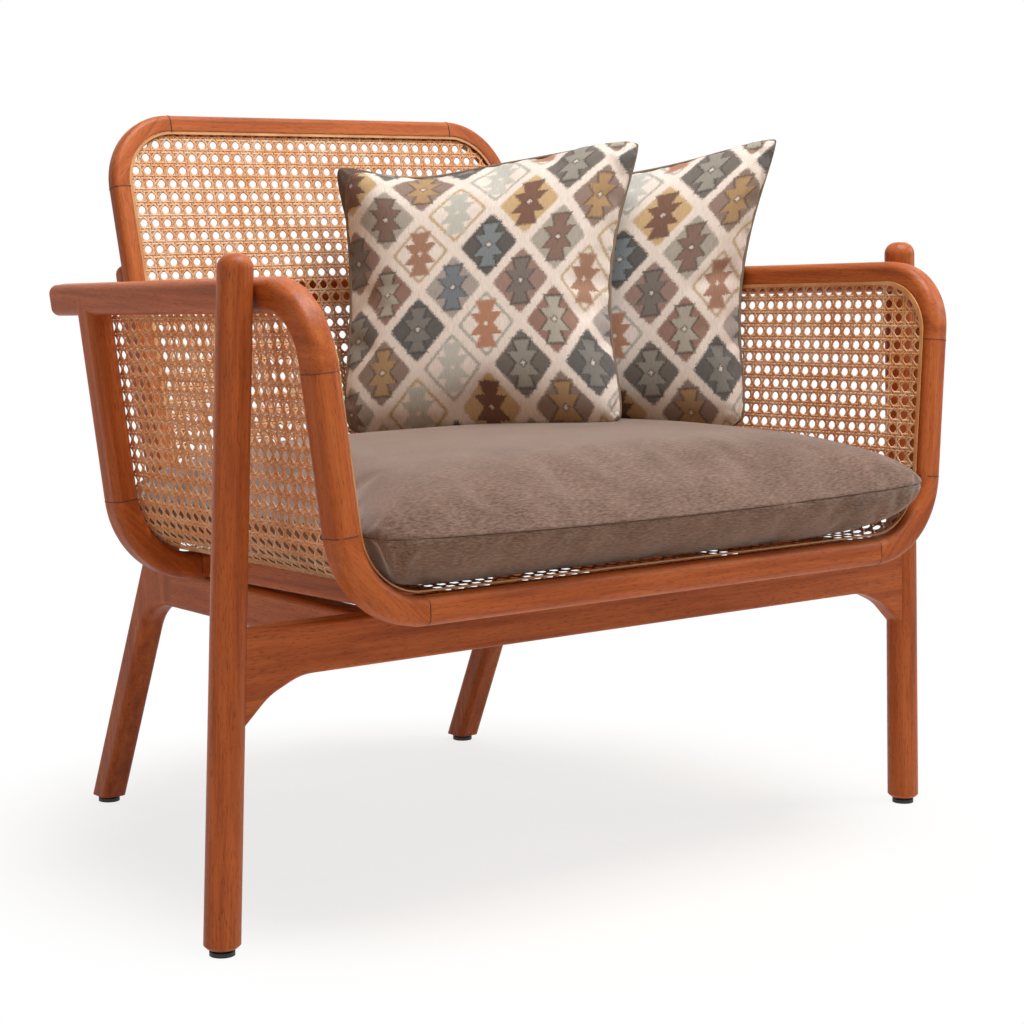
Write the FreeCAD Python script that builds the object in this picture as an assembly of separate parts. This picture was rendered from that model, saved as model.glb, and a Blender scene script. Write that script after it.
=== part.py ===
import FreeCAD, Part
import math
import os

# Lounge chair: a wooden base, a cane tub held between two hoops, a tilted cane back and loose cushions.
# Millimetres and degrees. X runs to the right seen from the front, Y to the back and Z up.
# Places along Y are measured from the line of the front posts until the parts are saved.

vec = FreeCAD.Vector

# Clearances, and how far a cutting tool runs past what it cuts
overrun = 6.0
dowel_clearance = 0.1
seat_clearance = 0.4
post_clearance = 1.2
soft_clearance = 0.3

# Hoops of the tub
hoop_width = 28.0
hoop_depth = 32.0
hoop_round = 9.0
hoop_radius = 84.0
hoop_splay = 6.3
front_hoop_flare = 14.0
front_hoop_y = -92.0
front_hoop_rise = 9.5
front_hoop_lean = 3.4
rear_hoop_half = 358.0
rear_hoop_y = 329.0
rear_hoop_z = 306.5
rear_hoop_lean = 2.6

# Arms
arm_front_rise = 290.0
arm_rear_rise = 281.0
arm_bend_radius = 58.0
arm_stub_length = 12.0
arm_tail_length = 75.0
arm_end_round = 8.0

# Seat stretchers under the cane
stretcher_end_gap = 19.0
stretcher_width = 20.0
stretcher_height = 26.0
stretcher_round = 3.0

# Front posts and apron
post_diameter = 35.0
post_top_diameter = 33.0
post_height = 640.0
post_spread = 85.0
post_dome = 13.0
foot_chamfer = 3.0
apron_height = 48.0
apron_thickness = 24.0
apron_round = 4.0
bracket_run = 58.0
bracket_drop = 43.0
bracket_radius = 60.0

# Side rails, rear legs and the bars between them
leg_end_gap = 27.0
leg_thickness = 30.0
rail_height = 43.0
rail_round = 7.5
leg_width = 30.0
leg_kink_rise = 25.0
foot_setback = 244.0
leg_top_width = 22.0
leg_top_drop = 152.0
leg_top_round = 10.0
kink_front_radius = 60.0
kink_rear_radius = 90.0
horn_length = 50.0
horn_notch_radius = 8.0
knee_radius = 58.0
rear_rail_height = 36.0
rear_rail_thickness = 22.0
cross_bar_height = 28.0
cross_bar_thickness = 18.0
cross_bar_drop = 188.0

# Glides under the feet
glide_height = 7.0
glide_disc_height = 4.0
glide_diameter = 24.0
glide_neck_diameter = 17.0
glide_pin_diameter = 6.0
glide_pin_length = 16.0

# Back frame
back_overhang = 7.0
back_drop = 462.0
back_radius = 70.0
back_tilt = 15.4
back_setback = 71.0
back_rise_over_bar = 15.0
back_width = 24.0
back_depth = 19.0
back_round = 7.0
rabbet_lip = 5.0
rabbet_depth = 5.0

# Cane and the reed that holds its edge
cane_thickness = 2.4
cane_front_inset = 0.4
cane_rear_inset = 1.6
cane_edge_setback = 10.0
cane_arm_setback = 21.0
reed_width = 3.6
reed_thickness = 1.6
cane_opening = 24.0
cane_opening_pitch = 46.0
cane_border = 9.0

# Hidden joinery
dowel_diameter = 8.0
dowel_length = 36.0
stud_diameter = 6.0
stud_length = 34.0
screw_diameter = 5.0
screw_head_diameter = 9.0
screw_head_height = 3.0
back_screw_length = 32.0
back_screw_drops = (222.0, 345.0)
seat_screw_length = 44.0

# Seat cushion
cushion_front_gap = 6.0
cushion_rear_gap = 8.0
cushion_front_reach = 24.0
cushion_back_gap = 10.0
cushion_pull = 10.0
cushion_under = 51.0
cushion_crown = 60.0
cushion_edge_inset = 165.0
cushion_under_inset = 62.0

# Throw pillows
pillow_side = 325.0
pillow_pull = 15.0
pillow_slump = 20.0
pillow_ear = 14.0
pillow_crown = 47.0
pillow_flat_half = 50.5
pillow_left_shift = 130.0
pillow_spread = 20.0
pillow_left_yaw = 42.0
pillow_left_tilt = 23.0
pillow_left_roll = 2.5
pillow_side_overhang = 36.8
pillow_back_gap = 3.3
pillow_right_yaw = 42.0
pillow_right_tilt = 14.0
pillow_right_roll = 2.0

# Where the bracket's curve steepens, as shares of its run and of its drop
bracket_knee_run_share = 0.6
bracket_knee_drop_share = 0.36

# Shares of a cushion's rise and of its edge inset, from the seam to the top of the crown
crown_rise_shares = (0.0, 0.3, 0.55, 0.78, 0.92, 1.0)
crown_inset_shares = (0.0, 0.06, 0.17, 0.37, 0.64, 1.0)

sides = {"left": -1, "right": 1}
settling_steps = 40


def sine(degrees):
    return math.sin(math.radians(degrees))


def cosine(degrees):
    return math.cos(math.radians(degrees))


def tangent(degrees):
    return math.tan(math.radians(degrees))


class Frame:
    # A flat working plane: origin, two unit axes in the plane and the normal.
    def __init__(self, origin, across, up):
        self.origin = origin
        self.across = across
        self.up = up
        self.normal = across.cross(up)

    def at(self, a, b, c=0.0):
        return self.origin + self.across * a + self.up * b + self.normal * c

    def turn(self, a, b):
        return self.across * a + self.up * b

    def placement(self):
        rotation = FreeCAD.Rotation(self.across, self.up, self.normal, "ZXY")
        return FreeCAD.Placement(self.origin, rotation)


def unit(vector):
    return vector / vector.Length


def upright_frame(origin, lean):
    return Frame(origin, vec(1, 0, 0), vec(0, sine(lean), cosine(lean)))


def rounded_wire(frame, corners):
    # Closed outline in a plane; each corner is (a, b, radius) and is rounded by a tangent arc.
    starts = []
    ends = []
    arcs = []
    count = len(corners)
    for index, (a, b, radius) in enumerate(corners):
        before = corners[index - 1]
        after = corners[(index + 1) % count]
        here = vec(a, b, 0)
        back = unit(vec(before[0], before[1], 0) - here)
        ahead = unit(vec(after[0], after[1], 0) - here)
        half = back.getAngle(ahead) / 2
        reach = radius / math.tan(half)
        bisector = unit(back + ahead)
        middle = here + bisector * (radius / math.sin(half) - radius)
        starts.append(here + back * reach)
        ends.append(here + ahead * reach)
        arcs.append(middle)
    edges = []
    for index, (a, b, radius) in enumerate(corners):
        first = frame.at(starts[index].x, starts[index].y)
        last = frame.at(ends[index].x, ends[index].y)
        if radius > 0:
            middle = frame.at(arcs[index].x, arcs[index].y)
            edges.append(Part.Arc(first, middle, last).toShape())
        following = starts[(index + 1) % count]
        edges.append(Part.LineSegment(last, frame.at(following.x, following.y)).toShape())
    return Part.Wire(edges)


def section_wire(centre, across, up, width, depth, radius):
    frame = Frame(centre, across, up)
    half_width = width / 2
    half_depth = depth / 2
    corners = [
        (-half_width, -half_depth, radius),
        (half_width, -half_depth, radius),
        (half_width, half_depth, radius),
        (-half_width, half_depth, radius),
    ]
    return rounded_wire(frame, corners)


def bar(frame, start, end, width, depth, radius):
    # Straight bar between two points of a plane.
    run = unit(vec(end[0] - start[0], end[1] - start[1], 0))
    across = frame.turn(-run.y, run.x)
    first = frame.at(*start)
    face = Part.Face(section_wire(first, across, frame.normal, width, depth, radius))
    return face.extrude(frame.at(*end) - first)


def bend(frame, centre, start, degrees, width, depth, radius):
    # Bar bent round a point of a plane.
    outward = unit(vec(start[0] - centre[0], start[1] - centre[1], 0))
    across = frame.turn(outward.x, outward.y)
    face = Part.Face(section_wire(frame.at(*start), across, frame.normal, width, depth, radius))
    return face.revolve(frame.at(*centre), frame.normal, degrees)


def plate(frame, wire, thickness):
    # Board centred on a plane.
    board = Part.Face(wire).extrude(frame.normal * thickness)
    board.translate(frame.normal * (-thickness / 2))
    return board


def eased(board, frame, thickness, radius, keep_off):
    # Rounds the outline edges of a board, apart from those that keep_off picks.
    edges = []
    for edge in board.Edges:
        heights = [(vertex.Point - frame.origin).dot(frame.normal) for vertex in edge.Vertexes]
        flat = max(heights) - min(heights) < thickness / 2
        if flat and not keep_off(edge):
            edges.append(edge)
    return board.makeFillet(radius, edges)


def rod(start, direction, diameter, length):
    return Part.makeCylinder(diameter / 2, length, start, direction)


def meet(p, d, q, e):
    # Where two lines of the YZ plane cross; each is a point and a direction.
    cross = d[0] * e[1] - d[1] * e[0]
    step = ((q[0] - p[0]) * e[1] - (q[1] - p[1]) * e[0]) / cross
    return (p[0] + d[0] * step, p[1] + d[1] * step)


parts = {}
joinery = {"joint_dowels": [], "arm_studs": [], "back_screws": [], "seat_screws": []}


def pin(group, names, middle, direction, diameter, length):
    # A hidden pin set half into each of the named pieces, with its clearance hole.
    direction = unit(direction)
    start = middle - direction * (length / 2)
    joinery[group].append(rod(start, direction, diameter, length))
    hole_start = start - direction * dowel_clearance
    hole = rod(hole_start, direction, diameter + 2 * dowel_clearance, length + 2 * dowel_clearance)
    for name in names:
        parts[name] = parts[name].cut(hole)


def dowel(first, second, middle, direction):
    pin("joint_dowels", (first, second), middle, direction, dowel_diameter, dowel_length)


def screw(group, names, top, direction, length):
    # A screw whose head is let in flush at top.
    direction = unit(direction)
    head = rod(top, direction, screw_head_diameter, screw_head_height)
    shank = rod(top, direction, screw_diameter, length)
    joinery[group].append(head.fuse(shank).removeSplitter())
    back_off = top - direction * overrun
    head_hole_diameter = screw_head_diameter + 2 * dowel_clearance
    head_hole = rod(back_off, direction, head_hole_diameter, screw_head_height + overrun)
    shank_hole = rod(top, direction, screw_diameter + 2 * dowel_clearance, length + dowel_clearance)
    for name in names:
        parts[name] = parts[name].cut(head_hole).cut(shank_hole)


# Widths follow the rear hoop: the front hoop is wider, and the rest stands inside or outside the hoops
front_hoop_half = rear_hoop_half + front_hoop_flare
post_foot_half = front_hoop_half + post_spread
cushion_front_half = front_hoop_half - hoop_width / 2 - cushion_front_gap
cushion_rear_half = rear_hoop_half - hoop_width / 2 - cushion_rear_gap

# Heights and depths follow the rear hoop too: the back stands behind it, and the rear feet behind the back.
front_hoop_z = rear_hoop_z + front_hoop_rise
back_low_y = rear_hoop_y + back_setback
back_top_y = back_low_y + back_drop * sine(back_tilt)
back_top_z = rear_hoop_z + back_rise_over_bar + back_drop * cosine(back_tilt)
foot_y = rear_hoop_y + foot_setback
cushion_length = back_low_y - front_hoop_y + cushion_front_reach - cushion_back_gap

# Hoop planes and the line between the hoops' bottom bars
front_hoop = upright_frame(vec(0, front_hoop_y, front_hoop_z), front_hoop_lean)
rear_hoop = upright_frame(vec(0, rear_hoop_y, rear_hoop_z), rear_hoop_lean)
seat_line = rear_hoop.origin - front_hoop.origin
seat_slope = seat_line.z / seat_line.y


def seat_line_z(y):
    return front_hoop_z + seat_slope * (y - front_hoop_y)


# Heights of the base follow the tub that rests on it
apron_top = seat_line_z(0) - stretcher_height / 2 - seat_clearance
apron_bottom = apron_top - apron_height
rail_top = rear_hoop_z - hoop_width / 2 - seat_clearance
rail_bottom = rail_top - rail_height
rail_middle = (rail_top + rail_bottom) / 2

bend_half = (90 - hoop_splay) / 2
corner_reach = hoop_radius * tangent(bend_half)

# The stretchers and the legs stand on the straight run of the rear bar, and the back on the legs.
rear_bar_half = rear_hoop_half - corner_reach
stretcher_half_span = rear_bar_half - stretcher_end_gap
leg_half_span = rear_bar_half - leg_end_gap
back_half = leg_half_span + back_overhang


def hoop_point(half, side, along):
    # Point on a hoop's upright, measured along it from the sharp lower corner.
    return (side * (half + along * sine(hoop_splay)), along * cosine(hoop_splay))


def hoop_corner(frame, half, side):
    start = (side * (half - corner_reach), 0.0)
    centre = (start[0], hoop_radius)
    return bend(frame, centre, start, side * (90 - hoop_splay), hoop_width, hoop_depth, hoop_round)


def hoop_bar(frame, half):
    end = half - corner_reach
    return bar(frame, (-end, 0.0), (end, 0.0), hoop_width, hoop_depth, hoop_round)


def arm_frame(side):
    # Plane that holds an arm and the upright below it, with its origin where their centre lines cross.
    front_along = arm_front_rise / cosine(hoop_splay)
    rear_along = arm_rear_rise / cosine(hoop_splay)
    knuckle = front_hoop.at(*hoop_point(front_hoop_half, side, front_along))
    over_rear = rear_hoop.at(*hoop_point(rear_hoop_half, side, rear_along))
    run = unit(over_rear - knuckle)
    rise = front_hoop.turn(side * sine(hoop_splay), cosine(hoop_splay))
    up = unit(rise - run * rise.dot(run))
    return Frame(knuckle, run, up), over_rear, rise


def make_arm(side):
    frame, over_rear, rise = arm_frame(side)
    down = (-rise.dot(frame.across), -rise.dot(frame.up))
    turn = 180 - math.degrees(math.acos(down[0]))
    reach = arm_bend_radius * tangent(turn / 2)
    centre = (reach, -arm_bend_radius)
    tail = (over_rear - frame.origin).Length + arm_tail_length
    straight = bar(frame, (reach, 0.0), (tail, 0.0), hoop_depth, hoop_width, hoop_round)
    end_point = frame.at(tail, 0)
    end_edges = []
    for edge in straight.Edges:
        if abs((edge.CenterOfMass - end_point).dot(frame.across)) < arm_end_round / 2:
            end_edges.append(edge)
    straight = straight.makeFillet(arm_end_round, end_edges)
    curve = bend(frame, centre, (reach, 0.0), turn, hoop_depth, hoop_width, hoop_round)
    foot = (down[0] * reach, down[1] * reach)
    toe = (down[0] * (reach + arm_stub_length), down[1] * (reach + arm_stub_length))
    stub = bar(frame, foot, toe, hoop_depth, hoop_width, hoop_round)
    return straight.multiFuse([curve, stub]).removeSplitter(), frame, toe, down


def make_tub(name, side):
    arm, frame, toe, down = make_arm(side)
    parts["arm_" + name] = arm

    # The front upright turns a little from the hoop's section to the arm's.
    rise = front_hoop.turn(side * sine(hoop_splay), cosine(hoop_splay))
    low = front_hoop.at(*hoop_point(front_hoop_half, side, corner_reach))
    low_across = front_hoop.turn(cosine(hoop_splay), -side * sine(hoop_splay))
    high = frame.at(*toe)
    high_across = frame.normal if frame.normal.x > 0 else -frame.normal
    low_wire = section_wire(low, low_across, rise.cross(low_across), hoop_width, hoop_depth, hoop_round)
    high_wire = section_wire(high, high_across, rise.cross(high_across), hoop_width, hoop_depth, hoop_round)
    upright = "front_upright_" + name
    parts[upright] = Part.makeLoft([low_wire, high_wire], True, True)
    parts["front_corner_" + name] = hoop_corner(front_hoop, front_hoop_half, side)
    dowel("arm_" + name, upright, high, rise)
    dowel(upright, "front_corner_" + name, low, rise)

    # The rear upright is cut to the underside of the arm.
    upright = "rear_upright_" + name
    along = arm_rear_rise / cosine(hoop_splay)
    foot = hoop_point(rear_hoop_half, side, corner_reach)
    head = hoop_point(rear_hoop_half, side, along)
    parts[upright] = bar(rear_hoop, foot, head, hoop_width, hoop_depth, hoop_round).cut(arm)
    parts["rear_corner_" + name] = hoop_corner(rear_hoop, rear_hoop_half, side)
    rise = rear_hoop.turn(side * sine(hoop_splay), cosine(hoop_splay))
    dowel("arm_" + name, upright, rear_hoop.at(*head) - rise * (hoop_depth / 2), rise)
    dowel(upright, "rear_corner_" + name, rear_hoop.at(*foot), rise)


def make_bars():
    for hoop, frame, half in (("front", front_hoop, front_hoop_half), ("rear", rear_hoop, rear_hoop_half)):
        parts[hoop + "_bar"] = hoop_bar(frame, half)
        for name, side in sides.items():
            end = frame.at(side * (half - corner_reach), 0)
            dowel(hoop + "_bar", hoop + "_corner_" + name, end, frame.across)


def make_stretchers():
    run = unit(seat_line)
    rise = vec(1, 0, 0).cross(run)
    for name, side in sides.items():
        stretcher = "seat_stretcher_" + name
        shift = vec(side * stretcher_half_span, 0, 0)
        sunk = run * (hoop_depth / 4)
        first = front_hoop.origin + shift
        last = rear_hoop.origin + shift
        size = (stretcher_width, stretcher_height, stretcher_round)
        wire = section_wire(first + sunk, vec(1, 0, 0), rise, *size)
        strip = Part.Face(wire).extrude(last - first - sunk * 2)
        parts[stretcher] = strip.cut(parts["front_bar"]).cut(parts["rear_bar"])
        dowel(stretcher, "front_bar", first + run * (hoop_depth / 2), run)
        dowel(stretcher, "rear_bar", last - run * (hoop_depth / 2), run)


def post_axis(side):
    # The post leans in until it stands beside the arm.
    frame, over_rear, rise = arm_frame(side)
    step = -frame.origin.y / frame.across.y
    beside = frame.at(step, 0)
    share = beside.z / post_height
    radius = (post_diameter + (post_top_diameter - post_diameter) * share) / 2
    reach = abs(beside.x) + hoop_width / 2 + radius + post_clearance
    foot = vec(side * post_foot_half, 0, 0)
    return foot, unit(vec(side * reach, 0, beside.z) - foot), beside


def make_post(name, side):
    foot, lean, beside = post_axis(side)
    length = post_height / lean.z
    blank = Part.makeCone(post_diameter / 2, post_top_diameter / 2, length, foot, lean)
    upper = [edge for edge in blank.Edges if edge.CenterOfMass.z > post_height / 2]
    blank = blank.makeFillet(post_dome, [edge for edge in upper if len(edge.Vertexes) == 1])
    size = 2 * post_diameter
    floor = Part.makeBox(size, size, size, foot - vec(post_diameter, post_diameter, size - glide_height))
    blank = blank.cut(floor)
    rim = [edge for edge in blank.Edges if abs(edge.BoundBox.ZMax - glide_height) < foot_chamfer / 2]
    parts["front_post_" + name] = blank.makeChamfer(foot_chamfer, rim)


def make_apron():
    frame = Frame(vec(0, 0, 0), vec(1, 0, 0), vec(0, 0, 1))
    foot, lean, beside = post_axis(1)

    def post_x(z):
        return foot.x + lean.x / lean.z * z

    low_z = apron_bottom - bracket_drop
    inner = post_x(low_z) - post_diameter / 2
    start = inner - bracket_run
    sunk = inner + overrun
    knee_x = start + bracket_run * bracket_knee_run_share
    knee_z = apron_bottom - bracket_drop * bracket_knee_drop_share
    half_outline = [
        (start, apron_bottom, bracket_radius),
        (knee_x, knee_z, bracket_radius),
        (sunk, low_z, 0),
        (post_x(low_z), low_z, 0),
        (post_x(apron_top), apron_top, 0),
    ]
    other_half = [(-x, z, radius) for x, z, radius in reversed(half_outline)]
    board = plate(frame, rounded_wire(frame, half_outline + other_half), apron_thickness)

    def at_post(edge):
        return abs(edge.CenterOfMass.x) > inner + overrun / 2

    board = eased(board, frame, apron_thickness, apron_round, at_post)
    for name, side in sides.items():
        board = board.cut(parts["front_post_" + name])
    parts["front_apron"] = board
    for name, side in sides.items():
        for height in (apron_bottom + apron_height / 4, apron_top - apron_height / 4):
            face = side * (post_x(height) - post_diameter / 2)
            dowel("front_apron", "front_post_" + name, vec(face, 0, height), vec(side, 0, 0))
        touch = post_axis(side)[2] + vec(side * hoop_width / 2, 0, 0)
        names = ("arm_" + name, "front_post_" + name)
        pin("arm_studs", names, touch, vec(side, 0, 0), stud_diameter, stud_length)


# The back's plane and the line of its rear face, on which the legs' upper ends lie
back = upright_frame(vec(0, back_top_y, back_top_z), back_tilt)
back_rise = (sine(back_tilt), cosine(back_tilt))
back_rear = (cosine(back_tilt), -sine(back_tilt))


def behind_back(distance, drop):
    # Point of the YZ plane behind the back's rear face, at a distance down the back's slope.
    reach = back_depth / 2 + distance
    y = back_top_y + back_rear[0] * reach - back_rise[0] * drop
    z = back_top_z + back_rear[1] * reach - back_rise[1] * drop
    return (y, z)


def leg_line(offset):
    # Point of the lower leg's line, shifted back by offset square to the line.
    return (foot_y + offset / cosine(leg_splay), glide_height)


# The lower leg runs from its foot to the back's lower end, where it bends up along the back.
leg_aim = behind_back(leg_top_width / 2, back_drop - leg_kink_rise)
leg_splay = math.degrees(math.atan2(foot_y - leg_aim[0], leg_aim[1] - glide_height))
leg_rise = (-sine(leg_splay), cosine(leg_splay))
horn_y = meet(leg_line(-leg_width / 2), leg_rise, (0, rail_bottom), (1, 0))[0] - horn_length


def make_leg(name, side):
    frame = Frame(vec(side * leg_half_span, 0, 0), vec(0, 1, 0), vec(0, 0, 1))
    front = leg_line(-leg_width / 2)
    rear = leg_line(leg_width / 2)
    kink_front = meet(front, leg_rise, behind_back(0, 0), back_rise)
    kink_rear = meet(rear, leg_rise, behind_back(leg_top_width, 0), back_rise)
    notch = meet(front, leg_rise, (0, rail_top), (1, 0))
    knee = meet(front, leg_rise, (0, rail_bottom), (1, 0))
    corners = [
        front + (0,),
        rear + (0,),
        kink_rear + (kink_rear_radius,),
        behind_back(leg_top_width, leg_top_drop) + (leg_top_round,),
        behind_back(0, leg_top_drop) + (leg_top_round,),
        kink_front + (kink_front_radius,),
        notch + (horn_notch_radius,),
        (horn_y, rail_top, 0),
        (horn_y, rail_bottom, 0),
        knee + (knee_radius,),
    ]
    board = plate(frame, rounded_wire(frame, corners), leg_thickness)

    def at_joint(edge):
        box = edge.BoundBox
        at_horn = box.YMax - horn_y < rail_round / 2
        at_floor = box.ZMax - glide_height < rail_round / 2
        return at_horn or at_floor

    parts["rear_leg_" + name] = eased(board, frame, leg_thickness, rail_round, at_joint)

    rail = "side_rail_" + name
    start = (apron_thickness / 2, rail_middle)
    end = (horn_y, rail_middle)
    parts[rail] = bar(frame, start, end, rail_height, leg_thickness, rail_round)
    for height in (rail_middle - rail_height / 4, rail_middle + rail_height / 4):
        dowel(rail, "rear_leg_" + name, frame.at(horn_y, height), frame.across)
        dowel(rail, "front_apron", frame.at(start[0], height), frame.across)


def make_leg_bars():
    inner = leg_half_span - leg_thickness / 2
    frame = Frame(vec(0, 0, rail_middle), vec(1, 0, 0), vec(0, 0, 1))
    frame.origin.y = horn_y + horn_length / 2
    size = (rear_rail_height, rear_rail_thickness, stretcher_round)
    parts["rear_rail"] = bar(frame, (-inner, 0.0), (inner, 0.0), *size)
    y, z = behind_back(leg_top_width / 2, cross_bar_drop)
    cross = upright_frame(vec(0, y, z), back_tilt)
    size = (cross_bar_height, cross_bar_thickness, stretcher_round)
    parts["back_cross_bar"] = bar(cross, (-inner, 0.0), (inner, 0.0), *size)
    for name, side in sides.items():
        dowel("rear_rail", "rear_leg_" + name, frame.at(side * inner, 0), frame.across)
        dowel("back_cross_bar", "rear_leg_" + name, cross.at(side * inner, 0), cross.across)


def fields(low, high, count):
    # Middles of equal fields between two ends.
    return [low + (high - low) * (index + 0.5) / count for index in range(count)]


def field_count(length):
    return max(1, int(length / cane_opening_pitch))


def mesh_opening(frame, a, b):
    # Square prism across a plane that cuts one opening of the cane's mesh.
    wire = section_wire(frame.at(a, b), frame.across, frame.up, cane_opening, cane_opening, 0)
    return plate(frame, wire, 2 * hoop_width)


def back_outline(grow, drop_grow):
    # Rounded outline parallel to the back frame's centre line.
    half = back_half + grow
    radius = back_radius + grow
    return [
        (-half, drop_grow, radius),
        (half, drop_grow, radius),
        (half, -back_drop - drop_grow, radius),
        (-half, -back_drop - drop_grow, radius),
    ]


def back_panel(grow, front_depth, thickness):
    # Flat sheet parallel to the back, its front face at front_depth behind the frame's front.
    lift = back.normal * (back_depth / 2 - front_depth)
    sheet = Part.Face(rounded_wire(back, back_outline(grow, grow))).extrude(back.normal * -thickness)
    sheet.translate(lift)
    return sheet


def back_openings(grow):
    # Grid of openings that stands for the mesh of the back's cane.
    half = back_half + grow
    drop = back_drop + 2 * grow
    across = fields(-half, half, field_count(2 * half))
    down = fields(grow, grow - drop, field_count(drop))
    cuts = Part.makeCompound([mesh_opening(back, a, b) for a in across for b in down])
    return cuts.common(back_panel(grow - cane_border, -overrun, back_depth))


def make_back():
    size = (back_width, back_depth, back_round)
    flat = back_half - back_radius
    low = -back_drop
    pieces = {
        "back_top_rail": bar(back, (-flat, 0.0), (flat, 0.0), *size),
        "back_bottom_rail": bar(back, (-flat, low), (flat, low), *size),
    }
    for name, side in sides.items():
        top = (side * flat, 0.0)
        bottom = (side * flat, low)
        post = side * back_half
        pieces["back_top_corner_" + name] = bend(back, (top[0], -back_radius), top, -side * 90, *size)
        low_centre = (bottom[0], low + back_radius)
        pieces["back_bottom_corner_" + name] = bend(back, low_centre, bottom, side * 90, *size)
        pieces["back_stile_" + name] = bar(back, (post, low + back_radius), (post, -back_radius), *size)
    lip = rabbet_lip - back_width / 2
    rabbet = back_panel(lip + dowel_clearance, -overrun, overrun + rabbet_depth)
    for name, piece in pieces.items():
        parts[name] = piece.cut(rabbet)
    deep = rabbet_depth - cane_thickness
    parts["back_cane"] = back_panel(lip, deep, cane_thickness).cut(back_openings(lip))
    ring = back_panel(lip, deep - reed_thickness, reed_thickness)
    parts["back_spline"] = ring.cut(back_panel(lip - reed_width, -overrun, back_depth))
    set_in = -back_depth / 4
    for name, side in sides.items():
        stile = "back_stile_" + name
        for level, rail in (("top", "back_top_rail"), ("bottom", "back_bottom_rail")):
            corner = "back_" + level + "_corner_" + name
            height = 0.0 if level == "top" else low
            inward = -back_radius if level == "top" else back_radius
            dowel(rail, corner, back.at(side * flat, height, set_in), back.across)
            dowel(stile, corner, back.at(side * back_half, height + inward, set_in), back.up)
        for drop in back_screw_drops:
            y, z = behind_back(leg_top_width, drop)
            names = ("rear_leg_" + name, stile)
            screw("back_screws", names, vec(side * leg_half_span, y, z), back.normal, back_screw_length)


def make_glides():
    places = {}
    for name, side in sides.items():
        foot, lean, beside = post_axis(side)
        places["front_" + name] = (foot + lean * (glide_height / lean.z), "front_post_" + name)
        places["rear_" + name] = (vec(side * leg_half_span, foot_y, glide_height), "rear_leg_" + name)
    for name, (point, carrier) in places.items():
        floor = vec(point.x, point.y, 0)
        up = vec(0, 0, 1)
        disc = rod(floor, up, glide_diameter, glide_disc_height)
        neck = rod(floor, up, glide_neck_diameter, glide_height)
        nail = rod(floor, up, glide_pin_diameter, glide_height + glide_pin_length)
        parts["glide_" + name] = disc.multiFuse([neck, nail]).removeSplitter()
        hole_length = glide_pin_length + glide_height + dowel_clearance
        hole = rod(floor, up, glide_pin_diameter + 2 * dowel_clearance, hole_length)
        parts[carrier] = parts[carrier].cut(hole)


def tub_corner(half, inset):
    # Sharp lower corner of the tub's section, set inside the hoop's inner face.
    depth = hoop_width / 2 + inset
    return (half + depth * tangent(hoop_splay) - depth / cosine(hoop_splay), depth)


def tub_wire(frame, half, inset, thickness, top):
    # Closed U-shaped band across a hoop, thickness deep on the inside.
    outer = tub_corner(half, inset)
    inner = tub_corner(half, inset + thickness)
    outer_radius = hoop_radius - hoop_width / 2 - inset
    inner_radius = outer_radius - thickness
    outer_top = outer[0] + (top - outer[1]) * tangent(hoop_splay)
    inner_top = inner[0] + (top - inner[1]) * tangent(hoop_splay)
    corners = [
        (-outer_top, top, 0),
        (-outer[0], outer[1], outer_radius),
        (outer[0], outer[1], outer_radius),
        (outer_top, top, 0),
        (inner_top, top, 0),
        (inner[0], inner[1], inner_radius),
        (-inner[0], inner[1], inner_radius),
        (-inner_top, top, 0),
    ]
    return rounded_wire(frame, corners)


def tub_band(extra_inset, thickness):
    # Band from the front hoop's groove to the rear hoop's groove.
    setback = hoop_depth / 2 - cane_edge_setback
    first = Frame(front_hoop.at(0, 0, setback), front_hoop.across, front_hoop.up)
    last = Frame(rear_hoop.at(0, 0, -setback), rear_hoop.across, rear_hoop.up)
    front_wire = tub_wire(first, front_hoop_half, cane_front_inset + extra_inset, thickness, arm_front_rise)
    rear_wire = tub_wire(last, rear_hoop_half, cane_rear_inset + extra_inset, thickness, arm_rear_rise)
    return Part.makeLoft([front_wire, rear_wire], True, True)


def tub_edge_prism(shrink):
    # Everything inside the cane's edge, seen from the side: it follows both hoops, the bend and the arms.
    frame, over_rear, rise = arm_frame(1)
    reach = front_hoop_half + arm_front_rise
    side_view = Frame(vec(-reach, 0, 0), vec(0, 1, 0), vec(0, 0, 1))
    setback = hoop_depth / 2 - cane_edge_setback
    front_low = front_hoop.at(0, 0, setback - shrink)
    rear_low = rear_hoop.at(0, 0, -setback + shrink)
    arm_drop = cane_arm_setback - hoop_depth / 2 + shrink
    arm_point = frame.at(0, -arm_drop)
    arm_way = (frame.across.y, frame.across.z)
    front_way = (front_hoop.up.y, front_hoop.up.z)
    rear_way = (rear_hoop.up.y, rear_hoop.up.z)
    front_top = meet((front_low.y, front_low.z), front_way, (arm_point.y, arm_point.z), arm_way)
    rear_top = meet((rear_low.y, rear_low.z), rear_way, (arm_point.y, arm_point.z), arm_way)
    depth = front_hoop_z - apron_bottom
    corners = [
        (front_low.y - front_way[0] * depth, front_low.z - front_way[1] * depth, 0),
        (rear_low.y - rear_way[0] * depth, rear_low.z - rear_way[1] * depth, 0),
        rear_top + (0,),
        front_top + (arm_bend_radius,),
    ]
    face = Part.Face(rounded_wire(side_view, corners))
    return face.extrude(vec(2 * reach, 0, 0))


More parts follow.
